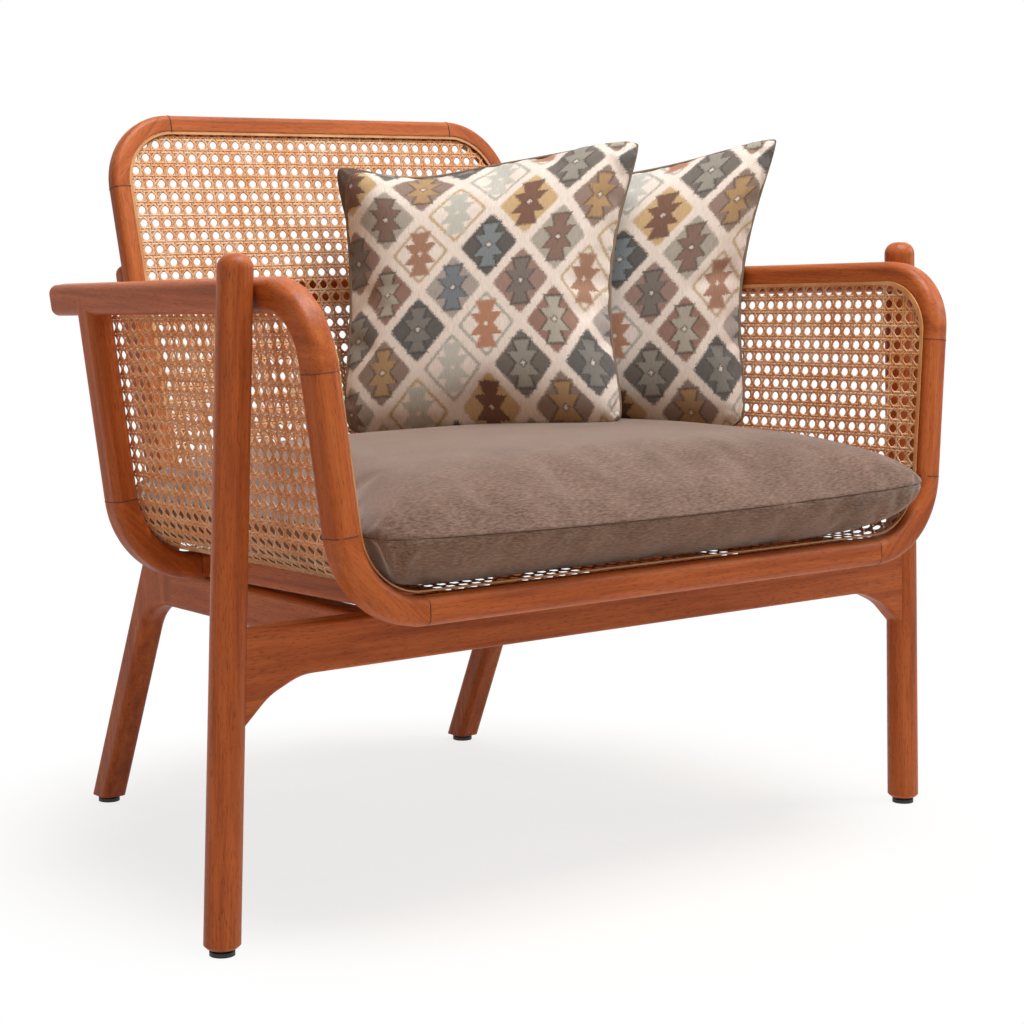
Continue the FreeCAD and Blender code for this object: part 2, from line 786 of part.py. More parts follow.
def tub_stations(half, rise, counts):
    # Places of the openings on a hoop's centre line, each with the turn of the tub's wall there.
    flat = half - corner_reach
    stations = [(a, 0.0, 0.0) for a in fields(-flat, flat, counts[0])]
    upright_turn = 90 - hoop_splay
    for side in sides.values():
        for turn in fields(0, upright_turn, counts[1]):
            a = side * (flat + hoop_radius * sine(turn))
            stations.append((a, hoop_radius * (1 - cosine(turn)), side * turn))
        for along in fields(corner_reach, rise / cosine(hoop_splay), counts[2]):
            stations.append(hoop_point(half, side, along) + (side * upright_turn,))
    return stations


def tub_openings():
    # Grid of openings that stands for the mesh of the tub's cane, on its floor, bends and sides.
    bend_length = math.radians(90 - hoop_splay) * (hoop_radius - hoop_width / 2)
    lengths = (2 * rear_bar_half, bend_length, arm_rear_rise / cosine(hoop_splay) - corner_reach)
    counts = [field_count(length) for length in lengths]
    near = tub_stations(front_hoop_half, arm_front_rise, counts)
    far = tub_stations(rear_hoop_half, arm_rear_rise, counts)
    cuts = []
    for (front_a, front_b, turn), (rear_a, rear_b, same_turn) in zip(near, far):
        first = front_hoop.at(front_a, front_b)
        last = rear_hoop.at(rear_a, rear_b)
        run = unit(last - first)
        across = unit(vec(sine(turn), 0, -cosine(turn)).cross(run))
        length = (last - first).Length
        wall = Frame(first, across, run)
        cuts += [mesh_opening(wall, 0.0, along) for along in fields(0, length, field_count(seat_line.Length))]
    return Part.makeCompound(cuts).common(tub_edge_prism(cane_border))


def make_tub_cane():
    outline = tub_edge_prism(0)
    parts["seat_cane"] = tub_band(0, cane_thickness).common(outline).cut(tub_openings())
    reed = tub_band(cane_thickness, reed_thickness).common(outline)
    parts["seat_spline"] = reed.cut(tub_edge_prism(reed_width))


def make_seat_screws():
    down = vec(0, 0, -1)
    for name, side in sides.items():
        stretcher = "seat_stretcher_" + name
        top = vec(side * stretcher_half_span, 0, seat_line_z(0) + stretcher_height / 2 - screw_head_height)
        screw("seat_screws", (stretcher, "front_apron"), top, down, seat_screw_length)
        bar_top = rear_hoop_z + hoop_width / 2 - screw_head_height
        top = vec(side * leg_half_span, rear_hoop_y, bar_top)
        screw("seat_screws", ("rear_bar", "side_rail_" + name), top, down, seat_screw_length)


def pulled_wire(corners, inset, pull, height):
    # Four arcs between the corners, drawn in towards the middle of the cushion.
    centre = vec(0, 0, 0)
    for x, y in corners:
        centre += vec(x, y, 0) / len(corners)
    points = []
    for x, y in corners:
        offset = vec(x, y, 0) - centre
        x_in = offset.x - math.copysign(inset, offset.x)
        y_in = offset.y - math.copysign(inset, offset.y)
        points.append(centre + vec(x_in, y_in, height))
    edges = []
    for index, point in enumerate(points):
        following = points[(index + 1) % len(points)]
        middle = (point + following) / 2
        inward = centre + vec(0, 0, height) - middle
        edges.append(Part.Arc(point, middle + unit(inward) * pull, following).toShape())
    return Part.Wire(edges)


def crowned(corners, pull, seam, crown, inset):
    # Half of a cushion, from its seam to the top of its crown.
    wires = []
    for rise_share, inset_share in zip(crown_rise_shares, crown_inset_shares):
        height = seam + crown * rise_share
        wires.append(pulled_wire(corners, inset * inset_share, pull, height))
    return Part.makeLoft(wires, True, False)


def make_cushion():
    run = unit(seat_line)
    rise = vec(1, 0, 0).cross(run)
    lift = hoop_width / 2 + cane_rear_inset + cane_thickness + reed_thickness + soft_clearance
    seat = Frame(front_hoop.origin + rise * lift, vec(1, 0, 0), run)
    front = -cushion_front_reach
    rear = front + cushion_length
    corners = [
        (-cushion_front_half, front),
        (cushion_front_half, front),
        (cushion_rear_half, rear),
        (-cushion_rear_half, rear),
    ]
    upper = crowned(corners, cushion_pull, cushion_under, cushion_crown, cushion_edge_inset)
    lower = crowned(corners, cushion_pull, cushion_under, -cushion_under, cushion_under_inset)
    cushion = upper.fuse(lower)
    cushion.Placement = seat.placement()
    parts["seat_cushion"] = cushion


def settle(shape, way, seat):
    # Moves a shape along a way until it lies a small clearance from its seat.
    for step in range(settling_steps):
        gap = shape.distToShape(seat)[0]
        if gap < 2 * soft_clearance:
            break
        shape.translate(way * (gap - soft_clearance))


def make_pillow(name, place, yaw, tilt, roll, seat, rest):
    # A pillow with one top corner drawn out and the other one slumped, standing turned and leaning back.
    half = pillow_side / 2
    corners = [(-half, -half), (half, -half), (half + pillow_ear, half), (-half, half - pillow_slump)]
    inset = half - pillow_flat_half
    front = crowned(corners, pillow_pull, 0, pillow_crown, inset)
    rear = crowned(corners, pillow_pull, 0, -pillow_crown, inset)
    pillow = front.fuse(rear)
    across = vec(cosine(yaw), -sine(yaw), 0)
    up = vec(sine(tilt) * sine(yaw), sine(tilt) * cosine(yaw), cosine(tilt))
    turned = Frame(place, across, up)
    rolled_across = turned.turn(cosine(roll), sine(roll))
    rolled_up = turned.turn(-sine(roll), cosine(roll))
    stand = Frame(turned.origin, rolled_across, rolled_up)
    pillow.Placement = stand.placement()
    pillow.translate(vec(0, 0, seat.BoundBox.ZMax - pillow.BoundBox.ZMin + soft_clearance))
    settle(pillow, vec(0, 0, -1), seat)
    if rest:
        settle(pillow, vec(sine(yaw), cosine(yaw), 0), rest)
        settle(pillow, vec(0, 0, -1), seat)
    parts["pillow_" + name] = pillow


for name, side in sides.items():
    make_tub(name, side)
make_bars()
make_stretchers()
for name, side in sides.items():
    make_post(name, side)
make_apron()
for name, side in sides.items():
    make_leg(name, side)
make_leg_bars()
make_back()
make_glides()
make_tub_cane()
make_seat_screws()
make_cushion()
seat = parts["seat_cushion"]
right_lie = (pillow_right_yaw, pillow_right_tilt, pillow_right_roll)
left_lie = (pillow_left_yaw, pillow_left_tilt, pillow_left_roll)
right_place = vec(cushion_rear_half + pillow_side_overhang, back_low_y - pillow_back_gap, 0)
right_place -= vec(cosine(pillow_right_yaw), sine(pillow_right_yaw), 0) * (pillow_side / 2)
left_way = vec(cosine(pillow_left_yaw), -sine(pillow_left_yaw), 0)
back_way = vec(sine(pillow_left_yaw), cosine(pillow_left_yaw), 0)
left_place = right_place - left_way * pillow_left_shift - back_way * (2 * pillow_crown + pillow_spread)
make_pillow("right", right_place, *right_lie, seat, None)
make_pillow("left", left_place, *left_lie, seat, parts["pillow_right"])
for group, pins in joinery.items():
    parts[group] = Part.makeCompound(pins)

# The origin lies on the floor, midway between the foremost and the rearmost point.
reaches = [vertex.Y for shape in parts.values() for vertex in shape.Vertexes]
to_origin = vec(0, -(min(reaches) + max(reaches)) / 2, 0)

os.makedirs("parts", exist_ok=True)
for name, shape in parts.items():
    shape.translate(to_origin)
    shape.exportStep("parts/" + name + ".step")
    print(name, shape.isValid(), len(shape.Solids), round(shape.Volume), shape.BoundBox)
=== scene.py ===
import math
import random

import bpy
import numpy as np
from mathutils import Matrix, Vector, geometry


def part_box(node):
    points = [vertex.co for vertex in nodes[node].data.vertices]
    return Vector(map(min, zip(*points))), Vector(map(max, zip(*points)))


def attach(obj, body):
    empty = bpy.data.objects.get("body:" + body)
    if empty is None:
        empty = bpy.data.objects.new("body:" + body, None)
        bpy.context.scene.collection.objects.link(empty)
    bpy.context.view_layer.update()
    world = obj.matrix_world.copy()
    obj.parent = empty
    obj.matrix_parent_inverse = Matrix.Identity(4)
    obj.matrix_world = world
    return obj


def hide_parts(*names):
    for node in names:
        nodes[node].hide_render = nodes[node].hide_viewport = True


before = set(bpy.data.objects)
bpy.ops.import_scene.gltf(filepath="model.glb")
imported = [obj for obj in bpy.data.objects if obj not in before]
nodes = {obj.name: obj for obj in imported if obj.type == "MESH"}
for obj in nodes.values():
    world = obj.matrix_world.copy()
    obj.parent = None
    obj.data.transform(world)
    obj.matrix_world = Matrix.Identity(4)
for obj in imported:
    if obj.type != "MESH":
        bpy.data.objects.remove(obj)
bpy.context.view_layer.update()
print("frame loaded:", len(nodes), "nodes")

mm = 0.001
tiny = 1e-9
scene = bpy.context.scene
scene.view_settings.view_transform = "Standard"
dice = random.Random(11)


def hexLinear(code):
    channels = []
    for place in (0, 2, 4):
        value = int(code[place:place + 2], 16) / 255
        channels.append(value / 12.92 if value <= 0.04045 else ((value + 0.055) / 1.055) ** 2.4)
    return (*channels, 1.0)


def feedNode(tree, node, values=None, links=None):
    # values fill the node's sockets; links feed them from a socket, or from a node's first live output
    for key, value in (values or {}).items():
        node.inputs[key].default_value = value
    for key, source in (links or {}).items():
        if isinstance(source, bpy.types.Node):
            source = next(output for output in source.outputs if output.enabled)
        tree.links.new(source, node.inputs[key])


def addNode(tree, kind, settings=None, values=None, links=None):
    # settings are the node's own properties
    node = tree.nodes.new(kind)
    for key, value in (settings or {}).items():
        setattr(node, key, value)
    feedNode(tree, node, values, links)
    return node


def newMaterial(name):
    material = bpy.data.materials.new(name)
    material.use_nodes = True
    tree = material.node_tree
    return material, tree, tree.nodes["Principled BSDF"]


def setStops(ramp, stops, blend="LINEAR"):
    # stops are (place, hex colour or grey value)
    elements = ramp.color_ramp.elements
    ramp.color_ramp.interpolation = blend
    while len(elements) > 1:
        elements.remove(elements[-1])
    for index, (place, colour) in enumerate(stops):
        stop = elements[0] if index == 0 else elements.new(place)
        stop.position = place
        stop.color = hexLinear(colour) if isinstance(colour, str) else (colour, colour, colour, 1.0)


def readPoints(mesh):
    points = np.empty(len(mesh.vertices) * 3)
    mesh.vertices.foreach_get("co", points)
    return points.reshape(-1, 3)


def unitRows(rows):
    return rows / np.linalg.norm(rows, axis=1)[:, None]


def writePoints(mesh, points):
    mesh.vertices.foreach_set("co", points.ravel())
    mesh.update()


# Camera

view = {
    "place": (-1.5829, -2.0860, 0.690),
    "drop": 7.43,       # degrees below level
    "turn": -38.41,
    "lens": 84.97,
    "sensor": 36.0,
}


def makeCamera():
    data = bpy.data.cameras.new("camera")
    data.lens = view["lens"]
    data.sensor_width = view["sensor"]
    camera = bpy.data.objects.new("camera", data)
    camera.location = view["place"]
    camera.rotation_euler = (math.radians(90 - view["drop"]), 0, math.radians(view["turn"]))
    scene.collection.objects.link(camera)
    scene.camera = camera


makeCamera()
print("camera set")


# Teak, sawn and lacquered: open grain gives short dark pores along the run, under a thin satin film

teak = {
    "figure": {"length": 190.0, "width": 11.0, "detail": 3.0,
               "stops": ((0.30, "9A4A1E"), (0.50, "B25B2A"), (0.72, "BF6934"))},
    "streak": {"length": 60.0, "width": 2.2, "detail": 2.0, "stops": ((0.34, 0.66), (0.62, 1.0))},
    # real pores are about 0.3 mm wide, drawn coarser so that they show
    "pore": {"length": 9.0, "width": 0.9, "detail": 1.0, "stops": ((0.57, 0.0), (0.70, 0.5))},
    "streakShare": 0.55, "poreTone": "5E2C12", "poreDepth": 0.25, "poreBump": 0.25, "poreRoughness": 0.16,
    "roughness": 0.44,
    "surface": {"Specular IOR Level": 0.22, "Coat Weight": 0.03, "Coat Roughness": 0.32},
    "boardShift": 3.0,      # metres, so that no two boards show the same grain
}


def grainAxis(node):
    # the long way of a piece, which is the way its board was cut
    points = readPoints(node.data)
    spread = points - points.mean(0)
    ways = np.linalg.eigh(spread.T @ spread)[1]
    return Vector(ways[:, -1])


def makeTeak(name, grain):
    material, tree, shader = newMaterial("teak_" + name)
    place = addNode(tree, "ShaderNodeTexCoord").outputs["Object"]
    turn = grain.rotation_difference(Vector((1, 0, 0))).to_euler()
    shift = [dice.uniform(-teak["boardShift"], teak["boardShift"]) for axis in range(3)]
    board = addNode(tree, "ShaderNodeMapping", values={"Rotation": turn, "Location": shift},
                    links={"Vector": place})
    ramps = {}
    for layer in ("figure", "streak", "pore"):
        sizes = teak[layer]
        along = 1 / (sizes["length"] * mm)
        across = 1 / (sizes["width"] * mm)
        stretch = addNode(tree, "ShaderNodeMapping", values={"Scale": (along, across, across)},
                          links={"Vector": board})
        noise = addNode(tree, "ShaderNodeTexNoise", values={"Scale": 1.0, "Detail": sizes["detail"]},
                        links={"Vector": stretch})
        ramps[layer] = addNode(tree, "ShaderNodeValToRGB", links={"Fac": noise})
        setStops(ramps[layer], sizes["stops"])
    tone = addNode(tree, "ShaderNodeMix", {"data_type": "RGBA", "blend_type": "MULTIPLY"},
                   {"Factor": teak["streakShare"]}, {"A": ramps["figure"], "B": ramps["streak"]})
    colour = addNode(tree, "ShaderNodeMix", {"data_type": "RGBA"}, {"B": hexLinear(teak["poreTone"])},
                     {"Factor": ramps["pore"], "A": tone})
    rough = addNode(tree, "ShaderNodeMath", {"operation": "MULTIPLY_ADD"},
                    {1: teak["poreRoughness"], 2: teak["roughness"]}, {0: ramps["pore"]})
    bump = addNode(tree, "ShaderNodeBump", {"invert": True},
                   {"Strength": teak["poreBump"], "Distance": teak["poreDepth"] * mm},
                   {"Height": ramps["pore"]})
    feedNode(tree, shader, teak["surface"], {"Base Color": colour, "Roughness": rough, "Normal": bump})
    return material


# Split rattan cane, honey coloured with a glossy bark side, each strand a little lighter or darker

caneTones = {
    "dark": "E4AB6E", "mid": "F3C189", "light": "FBDDB2", "places": (0.55, 0.85, 1.0),
    "patch": (35.0, 3.0), "fibre": (1.2, 1.0),      # size in mm and detail
    "strandShare": 0.45, "fibreShare": 0.25,
    "surface": {"Roughness": 0.42, "IOR": 1.5},
    "glow": "F58C38", "through": 0.36,      # the thin strands let some warm light through
}
# the reed is the cane's core, darker and too thick to glow
reedTones = {**caneTones, "dark": "BC804C", "mid": "D69C66", "light": "E4B684", "through": 0.0}


def makeCaneFinish(name, tones):
    material, tree, shader = newMaterial(name)
    place = addNode(tree, "ShaderNodeTexCoord").outputs["Object"]
    strand = addNode(tree, "ShaderNodeAttribute", {"attribute_name": "strandTone"})
    noises = {}
    for layer in ("patch", "fibre"):
        size, detail = tones[layer]
        values = {"Scale": 1 / (size * mm), "Detail": detail}
        noises[layer] = addNode(tree, "ShaderNodeTexNoise", values=values, links={"Vector": place})
    patched = addNode(tree, "ShaderNodeMath", {"operation": "MULTIPLY_ADD"}, {1: tones["strandShare"]},
                      {0: strand.outputs["Fac"], 2: noises["patch"]})
    mixed = addNode(tree, "ShaderNodeMath", {"operation": "MULTIPLY_ADD"}, {1: tones["fibreShare"]},
                    {0: noises["fibre"], 2: patched})
    colour = addNode(tree, "ShaderNodeValToRGB", links={"Fac": mixed})
    setStops(colour, zip(tones["places"], (tones["dark"], tones["mid"], tones["light"])))
    feedNode(tree, shader, tones["surface"], {"Base Color": colour})
    glow = addNode(tree, "ShaderNodeBsdfTranslucent", values={"Color": hexLinear(tones["glow"])})
    mix = addNode(tree, "ShaderNodeMixShader", values={0: tones["through"]}, links={1: shader, 2: glow})
    feedNode(tree, tree.nodes["Material Output"], links={"Surface": mix})
    return material


# Finishes that are even but for a fine speckle from dark to light, some of them with a little relief

speckleStops = (0.3, 0.7)


def makeSpeckled(name, finish):
    material, tree, shader = newMaterial(name)
    place = addNode(tree, "ShaderNodeTexCoord").outputs["Object"]
    speckle = addNode(tree, "ShaderNodeTexNoise", values={"Scale": 1 / (finish["speckle"] * mm)},
                      links={"Vector": place})
    tone = addNode(tree, "ShaderNodeValToRGB", links={"Fac": speckle})
    setStops(tone, zip(speckleStops, (finish["dark"], finish["light"])))
    feedNode(tree, shader, finish["surface"], {"Base Color": tone})
    if "relief" in finish:
        bump = addNode(tree, "ShaderNodeBump",
                       values={"Strength": finish["bump"], "Distance": finish["relief"] * mm},
                       links={"Height": speckle})
        feedNode(tree, shader, links={"Normal": bump})
    return material


caneFinish = makeCaneFinish("split_rattan_cane", caneTones)
reedFinish = makeCaneFinish("rattan_reed", reedTones)
# moulded polyethylene of the glides: dull black with a faint moulded grain
glidePlastic = makeSpeckled("moulded_polyethylene", {
    "dark": "1E1B1A", "light": "2B2725", "speckle": 0.8, "surface": {"Roughness": 0.55}})
# zinc-plated steel of the screws and studs: a cloudy grey shine
screwSteel = makeSpeckled("zinc_plated_steel", {
    "dark": "A8A69E", "light": "C9C7BE", "speckle": 3.0, "surface": {"Metallic": 1.0, "Roughness": 0.35}})


def finishCadNodes():
    replaced = ("seat_cane", "back_cane", "seat_cushion", "pillow_left", "pillow_right")
    for name, node in nodes.items():
        if name in replaced:
            continue
        if name.startswith("glide_"):
            material = glidePlastic
        elif name.endswith("_spline"):
            material = reedFinish
        elif name in ("arm_studs", "back_screws", "seat_screws"):
            material = screwSteel
        else:
            material = makeTeak(name, grainAxis(node))
        node.data.materials.clear()
        node.data.materials.append(material)


finishCadNodes()
print("wood, reed, plastic and steel finished")


# A tree that sweeps a rounded flat section along drawn lines, keeping its flat side to the surface

plainTone = 0.5     # tone of a line in a finish that doesn't read one


def makeSweepTree():
    tree = bpy.data.node_groups.new("strandSweep", "GeometryNodeTree")
    for name, kind in (("Lines", "Geometry"), ("Width", "Float"), ("Thickness", "Float"), ("Sides", "Int"),
                       ("Finish", "Material")):
        tree.interface.new_socket(name, in_out="INPUT", socket_type="NodeSocket" + kind)
    tree.interface.new_socket("Strands", in_out="OUTPUT", socket_type="NodeSocketGeometry")
    given = addNode(tree, "NodeGroupInput").outputs
    outward = addNode(tree, "GeometryNodeInputNamedAttribute", {"data_type": "FLOAT_VECTOR"},
                      {"Name": "surfaceNormal"})
    curve = addNode(tree, "GeometryNodeMeshToCurve", links={"Mesh": given["Lines"]})
    faced = addNode(tree, "GeometryNodeSetCurveNormal", {"mode": "FREE"},
                    links={"Curve": curve, "Normal": outward})
    ring = addNode(tree, "GeometryNodeCurvePrimitiveCircle", values={"Radius": 0.5},
                   links={"Resolution": given["Sides"]})
    size = addNode(tree, "ShaderNodeCombineXYZ", values={"Z": 1.0},
                   links={"X": given["Thickness"], "Y": given["Width"]})
    section = addNode(tree, "GeometryNodeTransform", links={"Geometry": ring, "Scale": size})
    swept = addNode(tree, "GeometryNodeCurveToMesh", values={"Fill Caps": True},
                    links={"Curve": faced, "Profile Curve": section})
    smooth = addNode(tree, "GeometryNodeSetShadeSmooth", links={"Geometry": swept})
    real = addNode(tree, "GeometryNodeRealizeInstances", links={"Geometry": smooth})
    dressed = addNode(tree, "GeometryNodeSetMaterial", links={"Geometry": real, "Material": given["Finish"]})
    addNode(tree, "NodeGroupOutput", links={"Strands": dressed})
    return tree


sweepTree = makeSweepTree()


def sweepLines(name, lines, width, thickness, sides, finish, closed=False):
    # lines are (points, normals, tone), width and thickness are in mm; the result is one plain mesh
    points = np.concatenate([line[0] for line in lines])
    normals = np.concatenate([line[1] for line in lines])
    tones = np.concatenate([np.full(len(line[0]), line[2]) for line in lines])
    edges = []
    start = 0
    for line in lines:
        count = len(line[0])
        edges += [(start + step, start + step + 1) for step in range(count - 1)]
        if closed:
            edges.append((start + count - 1, start))
        start += count
    drawn = bpy.data.meshes.new(name + "_lines")
    drawn.from_pydata(points.tolist(), edges, [])
    facing = drawn.attributes.new("surfaceNormal", "FLOAT_VECTOR", "POINT")
    facing.data.foreach_set("vector", normals.ravel())
    drawn.attributes.new("strandTone", "FLOAT", "POINT").data.foreach_set("value", tones)
    holder = bpy.data.objects.new(name + "_lines", drawn)
    scene.collection.objects.link(holder)
    sweep = holder.modifiers.new("sweep", "NODES")
    sweep.node_group = sweepTree
    given = {"Width": width * mm, "Thickness": thickness * mm, "Sides": sides, "Finish": finish}
    for item in sweepTree.interface.items_tree:
        if item.name in given:
            sweep[item.identifier] = given[item.name]
    made = bpy.data.meshes.new_from_object(holder.evaluated_get(bpy.context.evaluated_depsgraph_get()))
    made.name = name
    holder.modifiers.remove(sweep)
    bpy.data.objects.remove(holder)
    piece = bpy.data.objects.new(name, made)
    scene.collection.objects.link(piece)
    return piece


# Joint lines: thin dark rings where two lengths of wood meet end to end, their darkness painted shade of the
# seam between them

jointShadeLine = {
    "section": (0.5, 0.9, 4),           # width, thickness and sides
    "proud": 0.3,
    "sameWithin": 0.4, "fewest": 6,     # how near common points are, and how many make an end
    # the rings' dark colour is painted shade of the joint's seam
    "finish": {"dark": "401D0D", "light": "562B15", "speckle": 2.5, "surface": {"Roughness": 0.7}},
}
# neighbours along each hoop; a name that ends in _ takes the side
jointedRuns = (
    ("arm_", "front_upright_", "front_corner_", "front_bar"), ("rear_upright_", "rear_corner_", "rear_bar"),
    ("back_top_rail", "back_top_corner_", "back_stile_", "back_bottom_corner_", "back_bottom_rail"),
)


def sharedPoints(pair):
    # corner points that two neighbours have in common, in mm
    cell = jointShadeLine["sameWithin"]
    grids = [np.round(readPoints(nodes[name].data) / mm / cell).astype(int) for name in pair]
    first, second = [set(map(tuple, grid.tolist())) for grid in grids]
    return np.array(sorted(first & second)) * cell


def makeJointShadeLines():
    rings, pairs = [], []
    for side in ("left", "right"):
        for run in jointedRuns:
            names = [name + side if name.endswith("_") else name for name in run]
            pairs += zip(names, names[1:])
    for pair in pairs:
        shared = sharedPoints(pair)
        if len(shared) < jointShadeLine["fewest"]:
            print("no common end:", *pair, len(shared))
            continue
        middle = shared.mean(0)
        ways = np.linalg.svd(shared - middle)[2]
        flat = (shared - middle) @ ways[:2].T
        ring = shared[geometry.convex_hull_2d([tuple(place) for place in flat])]
        ring = ring + unitRows(ring - middle) * jointShadeLine["proud"]
        rings.append((ring * mm, np.repeat(ways[2][None], len(ring), 0), plainTone))
    # dark rings of painted shade along each joint
    finish = makeSpeckled("joint_line_painted_shade", jointShadeLine["finish"])
    piece = sweepLines("joint_shade_lines", rings, *jointShadeLine["section"], finish, closed=True)
    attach(piece, "frame")
    print("joint shade lines:", len(rings), "of", len(pairs))


makeJointShadeLines()


# Six-way cane weave: pairs both ways and single strands on both slants, drawn flat and laid on a surface

weave = {
    "pitch": 14.8,
    "pairHalf": 1.65,       # half the distance between the two strands of a pair
    "pairLift": 0.18, "slantLift": 0.3,
    "strandWidth": 3.0, "slantWidth": 2.5, "strandThick": 0.55, "strandSides": 4,
    "steps": 4,             # points for each pitch
    "probes": 8,            # tests against the panel's outline for each pitch
    "halvings": 8,
}
weaveTurn = 2 * math.pi / weave["pitch"]


def pairPath(family, place, side):
    # one strand of a pair, in its row at this place, over and under what it crosses
    def path(t):
        row = np.full_like(t, place)
        lift = side * weave["pairLift"] * np.sin(weaveTurn * t)
        return (row, t, lift) if family == "warp" else (t, row, -lift)

    return path


def slantPath(offset, way):
    def path(t):
        return t, offset + way * t, way * weave["slantLift"] * np.sin(weaveTurn * t)

    return path


def insideRuns(path, inside, low, high):
    # stretches of a line that lie inside the panel's outline, with their ends found by halving
    step = weave["pitch"] / weave["probes"]
    marks = np.arange(low, high + step, step)
    within = inside(*path(marks)[:2])
    ends = []
    for index in np.flatnonzero(within[:-1] != within[1:]):
        near, far = marks[index], marks[index + 1]
        for halving in range(weave["halvings"]):
            middle = (near + far) / 2
            if inside(*path(np.array([middle]))[:2])[0] == within[index]:
                near = middle
            else:
                far = middle
        ends.append(near)
    if within[0]:
        ends.insert(0, marks[0])
    if within[-1]:
        ends.append(marks[-1])
    return [(first, last) for first, last in zip(ends[::2], ends[1::2]) if last - first > step]


def weaveLines(panel):
    # panel gives u and v limits in mm, inside(u, v) and lay(u, v, w)
    pitch = weave["pitch"]
    reachU, lowV, highV = panel["halfU"], panel["lowV"], panel["highV"]
    columns = int(reachU / pitch) + 1
    families = {"warp": [], "weft": [], "slantUp": [], "slantDown": []}
    for family, rows, low, high in (
            ("warp", range(-columns, columns + 1), lowV, highV),
            ("weft", range(int(lowV / pitch) - 1, int(highV / pitch) + 2), -reachU, reachU)):
        for row in rows:
            for side in (-1, 1):
                path = pairPath(family, row * pitch + side * weave["pairHalf"], side)
                families[family].append((path, low, high))
    for row in range(math.floor((lowV - reachU) / pitch) - 1, math.ceil((highV + reachU) / pitch) + 1):
        offset = (row + 0.5) * pitch
        for family, way in (("slantUp", 1), ("slantDown", -1)):
            first, last = sorted(((lowV - offset) * way, (highV - offset) * way))
            first, last = max(first, -reachU), min(last, reachU)
            if first < last:
                families[family].append((slantPath(offset, way), first, last))
    lines = {}
    for family, strands in families.items():
        stretch = math.sqrt(2) if family.startswith("slant") else 1.0
        lines[family] = []
        for path, low, high in strands:
            for first, last in insideRuns(path, panel["inside"], low, high):
                number = max(2, int(round((last - first) * stretch / pitch * weave["steps"])) + 1)
                points, normals = panel["lay"](*path(np.linspace(first, last, number)))
                lines[family].append((points, normals, dice.random()))
    return lines


def weavePanel(name, panel, groups):
    lines = weaveLines(panel)
    for group, families in groups.items():
        wide = weave["slantWidth"] if group.startswith("slant") else weave["strandWidth"]
        drawn = [line for family in families for line in lines[family]]
        section = (wide, weave["strandThick"], weave["strandSides"])
        piece = sweepLines(name + "_" + group, drawn, *section, caneFinish)
        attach(piece, "frame")
        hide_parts(name)
        print(piece.name, len(piece.data.polygons), "faces")


def clearOfRound(fromEnd, fromSide, bend, margin):
    # false in the part of a square corner that its rounding cuts off
    corner = (fromEnd < bend) & (fromSide < bend)
    return ~corner | ((bend - fromEnd) ** 2 + (bend - fromSide) ** 2 <= (bend - margin) ** 2)


# Tub between the hoops: a flat floor, a bend and a splayed side, ruled from the front hoop to the rear one

tub = {
    "hoopWidth": 28.0, "hoopDepth": 32.0, "hoopRadius": 84.0, "splay": 6.3,
    "front": {"half": 372.0, "y": -92.0, "z": 316.0, "lean": 3.4, "inset": 0.4, "rise": 290.0, "way": 1},
    "rear": {"half": 358.0, "y": 329.0, "z": 306.5, "lean": 2.6, "inset": 1.6, "rise": 281.0, "way": -1},
    "caneThick": 2.4, "edgeSetback": 10.0, "armSetback": 21.0, "armBend": 58.0, "reedWidth": 3.6,
    "nudge": 0.5,       # step for the surface's direction
}
glideLow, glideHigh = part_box("glide_front_left")
postLine = (glideLow.y + glideHigh.y) / 2 / mm     # the front posts' line; depths are measured from it


def leaningAxes(lean, y, z):
    # foot, upward way and forward way of a frame that leans back
    angle = math.radians(lean)
    up = np.array([0.0, math.sin(angle), math.cos(angle)])
    forward = np.array([0.0, -math.cos(angle), math.sin(angle)])
    return np.array([0.0, postLine + y, z]), up, forward


def hoopAxes(hoop):
    return leaningAxes(hoop["lean"], hoop["y"], hoop["z"])


def hoopLengths(hoop):
    # floor half, bend and side of the cane's middle in one hoop
    splay = math.radians(tub["splay"])
    depth = tub["hoopWidth"] / 2 + hoop["inset"] + tub["caneThick"] / 2
    radius = tub["hoopRadius"] - depth
    corner = hoop["half"] + depth * math.tan(splay) - depth / math.cos(splay)
    flat = corner - radius / math.tan(math.radians(45) + splay / 2)
    bend = radius * (math.pi / 2 - splay)
    side = (hoop["rise"] - depth - radius + radius * math.sin(splay)) / math.cos(splay)
    return {"depth": depth, "radius": radius, "flat": flat, "bend": bend, "side": side}


def hoopPoint(hoop, share, zone, sign):
    # share along the floor, bend or side, as zone 0, 1 or 2
    sizes = hoopLengths(hoop)
    splay = math.radians(tub["splay"])
    angle = -math.pi / 2 + np.clip(share, 0, 1) * (math.pi / 2 - splay)
    bendA = sizes["flat"] + sizes["radius"] * np.cos(angle)
    bendB = sizes["depth"] + sizes["radius"] * (1 + np.sin(angle))
    endA = sizes["flat"] + sizes["radius"] * math.cos(splay)
    endB = sizes["depth"] + sizes["radius"] * (1 - math.sin(splay))
    sideA = endA + share * sizes["side"] * math.sin(splay)
    sideB = endB + share * sizes["side"] * math.cos(splay)
    a = np.where(zone == 0, share * sizes["flat"], np.where(zone == 1, bendA, sideA))
    b = np.where(zone == 0, sizes["depth"], np.where(zone == 1, bendB, sideB))
    origin, up, normal = hoopAxes(hoop)
    setback = (tub["hoopDepth"] / 2 - tub["edgeSetback"]) * hoop["way"]
    return origin + np.outer(sign * a, (1, 0, 0)) + np.outer(b, up) + setback * normal


